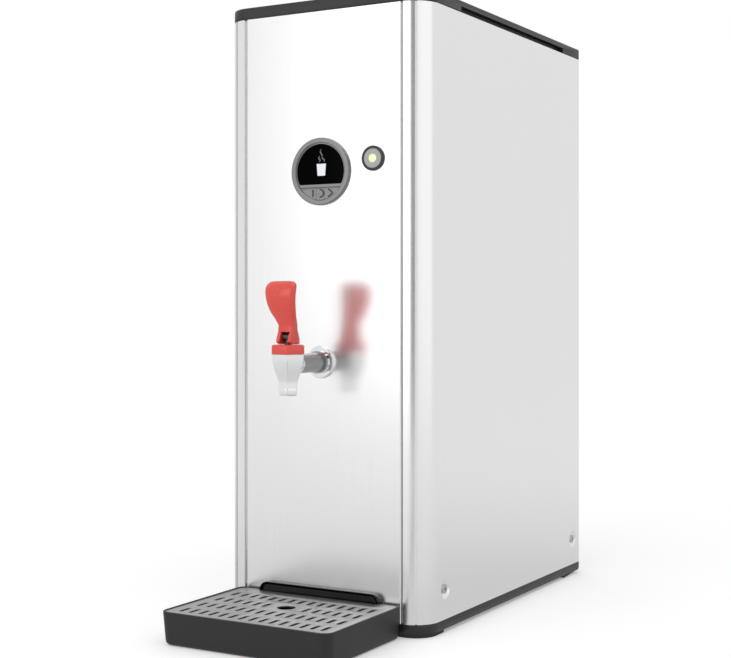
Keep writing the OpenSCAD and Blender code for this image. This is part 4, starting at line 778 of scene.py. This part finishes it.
class URN_OT_tray(bpy.types.Operator):
    """Drip tray, hook piece and slotted grille"""

    bl_idname = "urn.tray"
    bl_label = "Drip tray"

    def execute(self, context):
        look = context.scene.urn_tray
        plastic = moulded("tray_plastic", look.plastic, 0.5, 0.12)
        self.tray(plastic)
        black = moulded("hook_black", look.black, 0.22, 0.06, Specular_IOR_Level=0.35)
        self.recessed(softened("tray_hook", 0.4 * MM, black).data, 1.7 * MM, 2.6 * MM)
        wear(black, "display_housing", "cable_gland", "button_switch", "overheat_cutout")
        steel = brushed("grille_steel", look.steel, (6.0, 700.0, 700.0), 0.08, 0.4, 0.08)
        softened("drip_grille", 0.25 * MM, steel)
        return {"FINISHED"}

    @staticmethod
    def recessed(mesh, rim, depth):
        """Sinks the foremost faces of a mesh inside a rim, so that the rim stands as a bead."""
        work = bmesh.new()
        work.from_mesh(mesh)
        front = min(face.calc_center_median().y for face in work.faces)
        faces = [f for f in work.faces if f.normal.y < -0.99 and f.calc_center_median().y < front + 0.1 * MM]
        bmesh.ops.inset_region(work, faces=faces, thickness=rim, depth=-depth, use_even_offset=True)
        work.to_mesh(mesh)
        work.free()
        mesh.shade_smooth()

    def tray(self, plastic):
        """The tray: one closed surface of round-cornered rings, from the middle of the
        underside round the lower edge, up the sloped wall, over the rim, down to the ledge of
        the grille and on to the floor."""
        low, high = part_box("drip_tray")
        top = high.z
        half, front, back = high.x, low.y, high.y
        bend = np.radians(np.linspace(0, 90, 9))
        edge, lip, rim, drop, ledge = 3.5 * MM, 0.6 * MM, 2 * MM, 2.2 * MM, 3 * MM
        corner, inner_corner, middle, bottom = 9.5 * MM, 3.5 * MM, 30 * MM, 2.5 * MM
        wall = rim + ledge
        profile = [(middle, 0.0)]
        profile += list(zip(edge * (1 - np.sin(bend)), edge * (1 - np.cos(bend))))
        profile += list(zip(np.zeros(5), np.linspace(edge, top - lip, 6)[1:]))
        profile += list(zip(lip * (1 - np.cos(bend)), top - lip * (1 - np.sin(bend))))
        profile += [(rim - 0.4 * MM, top), (rim, top - 0.4 * MM), (rim, top - drop), (wall, top - drop),
                    (wall, 8 * MM), (wall + 0.9 * MM, 3.4 * MM), (wall + 3 * MM, bottom), (middle, bottom)]
        inset, z = np.array(profile).T
        lean = 1.8 * MM * (1 - z / top)
        rings = box_rings(half - lean - inset, front + lean + inset, back - inset,
                          np.maximum(corner - 0.6 * inset, inner_corner), z)
        ribs = [self.rib(s * 28 * MM, front + 20 * MM, back - 15 * MM, 2.4 * MM, top - drop - 0.05 * MM)
                for s in (-1, 1)]
        mesh = shell_mesh("drip_tray_dressed", [rings] + ribs)
        mesh.set_sharp_from_angle(angle=math.radians(35))
        place_mesh("drip_tray_dressed", mesh, plastic, BODY_OF["drip_tray"],
                   ("drip_tray",))

    @staticmethod
    def rib(x, front, back, low, high):
        """A rib of the tray's floor: a thin upright wall with round ends."""
        ones = np.ones(2)
        rings = box_rings(1 * MM * ones, front * ones, back * ones, 0.9 * MM * ones, np.array([low, high]), 5)
        rings[..., 0] += x
        return rings


class URN_OT_inside(bpy.types.Operator):
    """Hidden pieces: tank, hoses, valve, boards and fittings"""

    bl_idname = "urn.inside"
    bl_label = "Inside"

    def execute(self, context):
        tank = brushed("tank_steel", BASE_OF["tank_steel"], (15.0, 15.0, 500.0), 0.08, 0.32, 0.1)
        wear(tank, "tank", "tank_cover", "heating_element", "temperature_sensor")
        brass = brushed("plain_brass", BASE_OF["brass"], ACROSS, 0.12, 0.3, 0.1)
        wear(brass, "tap_nut", "board_standoffs")
        silicone = moulded("milky_silicone", BASE_OF["silicone"], 0.5, 0.1, 0.1, 400.0)
        wear(silicone, "tap_seat_cup", "outlet_hose", "inlet_hose", "vent_tube")
        wear(moulded("red_silicone", BASE_OF["gasket_silicone"], 0.6, 0.1, 0.1, 400.0), "tank_gasket")
        wear(moulded("insulating_foam", BASE_OF["foam"], 0.85, 0.1, 0.25, 250.0, (0.5, 0.0005)), "insulation")
        white = moulded("white_plastic", BASE_OF["white_plastic"], 0.45, 0.1)
        wear(white, "level_probe", "inlet_valve", "terminal_block")
        wear(moulded("coil_red", BASE_OF["coil_red"], 0.35, 0.1), "valve_coil")
        return {"FINISHED"}


class URN_OT_stage(bpy.types.Operator):
    """Pale floor, soft light and the camera"""

    bl_idname = "urn.stage"
    bl_label = "Stage"

    def execute(self, context):
        studio = context.scene.urn_studio
        self.camera(context.scene, studio)
        self.floor(studio)
        self.cards()
        self.world(context.scene, studio)
        self.lamps(studio)
        context.scene.view_settings.view_transform = "Standard"
        return {"FINISHED"}

    @staticmethod
    def camera(scene, studio):
        """The photograph's camera, level and turned to its left."""
        data = bpy.data.cameras.new("camera")
        data.sensor_width = 36
        data.lens = studio.lens
        data.shift_x, data.shift_y = studio.shift
        data.clip_start, data.clip_end = 0.05, 50
        view = bpy.data.objects.new("camera", data)
        view.location = studio.place
        view.rotation_euler = (math.radians(90), 0, studio.turn)
        scene.collection.objects.link(view)
        scene.camera = view

    @staticmethod
    def stage_sheet(name, corners, material):
        """A flat sheet of the stage, from four corners."""
        mesh = bpy.data.meshes.new(name)
        mesh.from_pydata(corners, [], [(0, 1, 2, 3)])
        sheet = bpy.data.objects.new(name, mesh)
        bpy.context.scene.collection.objects.link(sheet)
        mesh.materials.append(material)
        return sheet

    def floor(self, studio):
        """White floor. Near the object the camera sees its shaded surface with the soft shadow,
        which fades into plain white with the distance, and metal sees it as a pale ground that
        is darker close to the object."""
        material = bpy.data.materials.new("floor_white")
        material.use_nodes = True
        tree = material.node_tree
        link = tree.links.new
        matt = tree.nodes["Principled BSDF"]
        matt.inputs["Base Color"].default_value = (0.9, 0.9, 0.9, 1)
        matt.inputs["Roughness"].default_value = 1.0
        matt.inputs["Specular IOR Level"].default_value = 0.0
        place = add(tree, "ShaderNodeTexCoord")
        flat = add(tree, "ShaderNodeVectorMath", operation="MULTIPLY", in_1=(1, 1, 0))
        link(place.outputs["Object"], flat.inputs[0])
        distance = add(tree, "ShaderNodeVectorMath", operation="LENGTH")
        link(flat.outputs[0], distance.inputs[0])
        fade = add(tree, "ShaderNodeMapRange", interpolation_type="SMOOTHSTEP", in_1=0.3, in_2=0.95)
        link(distance.outputs["Value"], fade.inputs[0])
        lift = add(tree, "ShaderNodeEmission", in_0=(1, 1, 1, 1), in_1=0.27)
        shaded = add(tree, "ShaderNodeAddShader")
        link(matt.outputs[0], shaded.inputs[0])
        link(lift.outputs[0], shaded.inputs[1])
        white = add(tree, "ShaderNodeEmission", in_0=(1, 1, 1, 1), in_1=1.0)
        seen = add(tree, "ShaderNodeMixShader")
        link(fade.outputs[0], seen.inputs[0])
        link(shaded.outputs[0], seen.inputs[1])
        link(white.outputs[0], seen.inputs[2])
        # Painted shade: metal mirrors the floor as a glow that darkens towards the object, standing in for
        # the shade and reflection that the object throws on the floor round it.
        far = add(tree, "ShaderNodeMapRange", in_1=0.0, in_2=3.0)
        link(distance.outputs["Value"], far.inputs[0])
        ground = add(tree, "ShaderNodeValToRGB")
        ramp = ground.color_ramp
        ramp.elements[0].position, ramp.elements[1].position = 0.08, 1.0
        for spot in (0.17, 0.3, 0.5):
            ramp.elements.new(spot)
        for element, level in zip(ramp.elements, (0.66, 0.75, 0.82, 0.85, studio.mirrored)):
            element.color = (level, level, level, 1)
        link(far.outputs[0], ground.inputs[0])
        pale = add(tree, "ShaderNodeEmission", in_1=1.0)
        link(ground.outputs[0], pale.inputs[0])
        path = add(tree, "ShaderNodeLightPath")
        mirror = add(tree, "ShaderNodeMixShader")
        link(path.outputs["Is Glossy Ray"], mirror.inputs[0])
        link(matt.outputs[0], mirror.inputs[1])
        link(pale.outputs[0], mirror.inputs[2])
        last = add(tree, "ShaderNodeMixShader")
        link(path.outputs["Is Camera Ray"], last.inputs[0])
        link(mirror.outputs[0], last.inputs[1])
        link(seen.outputs[0], last.inputs[2])
        link(last.outputs[0], tree.nodes["Material Output"].inputs["Surface"])
        size, low = 12.0, -0.0002
        corners = [(-size, -size, low), (size, -size, low), (size, size, low), (-size, size, low)]
        self.stage_sheet("floor", corners, material)

    def cards(self):
        """Cards that only metal sees. A narrow dark one on the camera's side and a grey strip on
        the floor draw the dark lines along polished edges, and a white one at the right lights
        up the rounded corner."""
        for name, turn, away, half, low, high, level in (
            ("dark_card", -71, 2.2, 0.24, 0.02, 2.2, 0.03),
            ("white_card", -15, 2.0, 1.1, 0.05, 2.0, 1.05),
        ):
            turn = np.radians(turn)
            middle = away * np.array([np.cos(turn), np.sin(turn)])
            side = half * np.array([-np.sin(turn), np.cos(turn)])
            left, right = middle + side, middle - side
            self.card(name, [(*left, low), (*right, low), (*right, high), (*left, high)], level)
        strip = ((0.09, -0.385), (0.13, -0.365), (0.38, -0.76), (0.3, -0.81))
        self.card("middle_strip", [(*corner, 1 * MM) for corner in strip], 0.3)

    def card(self, name, corners, level):
        """A card of one plain brightness."""
        material = bpy.data.materials.new(name)
        material.use_nodes = True
        tree = material.node_tree
        glow = add(tree, "ShaderNodeEmission", in_0=(level, level, level, 1), in_1=1.0)
        tree.links.new(glow.outputs[0], tree.nodes["Material Output"].inputs["Surface"])
        self.hide(self.stage_sheet(name, corners, material))

    @staticmethod
    def hide(card):
        """Only mirrored rays meet the card."""
        card.visible_camera = card.visible_diffuse = card.visible_shadow = False

    @staticmethod
    def world(scene, studio):
        """An even white room: full white for the camera, slightly less in metal, and a plain
        level of light on everything else."""
        world = bpy.data.worlds.new("studio")
        world.use_nodes = True
        scene.world = world
        tree = world.node_tree
        plain = tree.nodes["Background"]
        plain.inputs["Color"].default_value = (1, 1, 1, 1)
        plain.inputs["Strength"].default_value = studio.room
        path = add(tree, "ShaderNodeLightPath")
        last = plain.outputs[0]
        for ray, strength in (("Is Glossy Ray", studio.mirrored), ("Is Camera Ray", 1.0)):
            seen = add(tree, "ShaderNodeBackground", in_0=(1, 1, 1, 1), in_1=strength)
            mix = add(tree, "ShaderNodeMixShader")
            tree.links.new(path.outputs[ray], mix.inputs[0])
            tree.links.new(last, mix.inputs[1])
            tree.links.new(seen.outputs[0], mix.inputs[2])
            last = mix.outputs[0]
        tree.links.new(last, tree.nodes["World Output"].inputs["Surface"])

    @staticmethod
    def lamps(studio):
        """Two large soft lights, each turned to the point that it lights."""
        for name, spot, target, size, power in (
            ("key_softbox", (-0.38, -2.3, 1.05), (0, 0, 1.05), (1.7, 1.9), studio.key),
            ("top_softbox", (0.2, -0.3, 2.4), (0, 0, 0.2), (1.6, 1.6), studio.top),
        ):
            data = bpy.data.lights.new(name, "AREA")
            data.shape = "RECTANGLE"
            data.size, data.size_y = size
            data.energy = power
            lamp = bpy.data.objects.new(name, data)
            lamp.location = spot
            away = np.array(spot) - np.array(target)
            lamp.rotation_euler = (math.atan2(math.hypot(away[0], away[1]), away[2]), 0,
                                   math.atan2(away[1], away[0]) + math.pi / 2)
            bpy.context.scene.collection.objects.link(lamp)


class URN_PT_panel(bpy.types.Panel):
    """Lists the steps that dress the urn"""

    bl_label = "Hot water urn"
    bl_idname = "URN_PT_panel"
    bl_space_type = "VIEW_3D"
    bl_region_type = "UI"
    bl_category = "Urn"

    def draw(self, context):
        for step in STEPS:
            self.layout.operator(step.bl_idname)


STEPS = (URN_OT_casing, URN_OT_display, URN_OT_button, URN_OT_tap, URN_OT_tray, URN_OT_inside, URN_OT_stage)
LOOKS = {"urn_casing": UrnCasing, "urn_tap": UrnTap, "urn_tray": UrnTray, "urn_display": UrnDisplay,
         "urn_studio": UrnStudio}


def register():
    """Registers settings, steps and panel."""
    for cls in (*LOOKS.values(), *STEPS, URN_PT_panel):
        bpy.utils.register_class(cls)
    for name, cls in LOOKS.items():
        setattr(bpy.types.Scene, name, PointerProperty(type=cls))


def unregister():
    """Takes away what register() added."""
    for name in LOOKS:
        delattr(bpy.types.Scene, name)
    for cls in (URN_PT_panel, *reversed(STEPS), *reversed(list(LOOKS.values()))):
        bpy.utils.unregister_class(cls)


def main():
    """Dresses the urn."""
    register()
    bpy.ops.urn.stage()
    bpy.ops.urn.casing()
    bpy.ops.urn.display()
    bpy.ops.urn.button()
    bpy.ops.urn.tap()
    bpy.ops.urn.tray()
    bpy.ops.urn.inside()


if __name__ == "__main__":
    main()
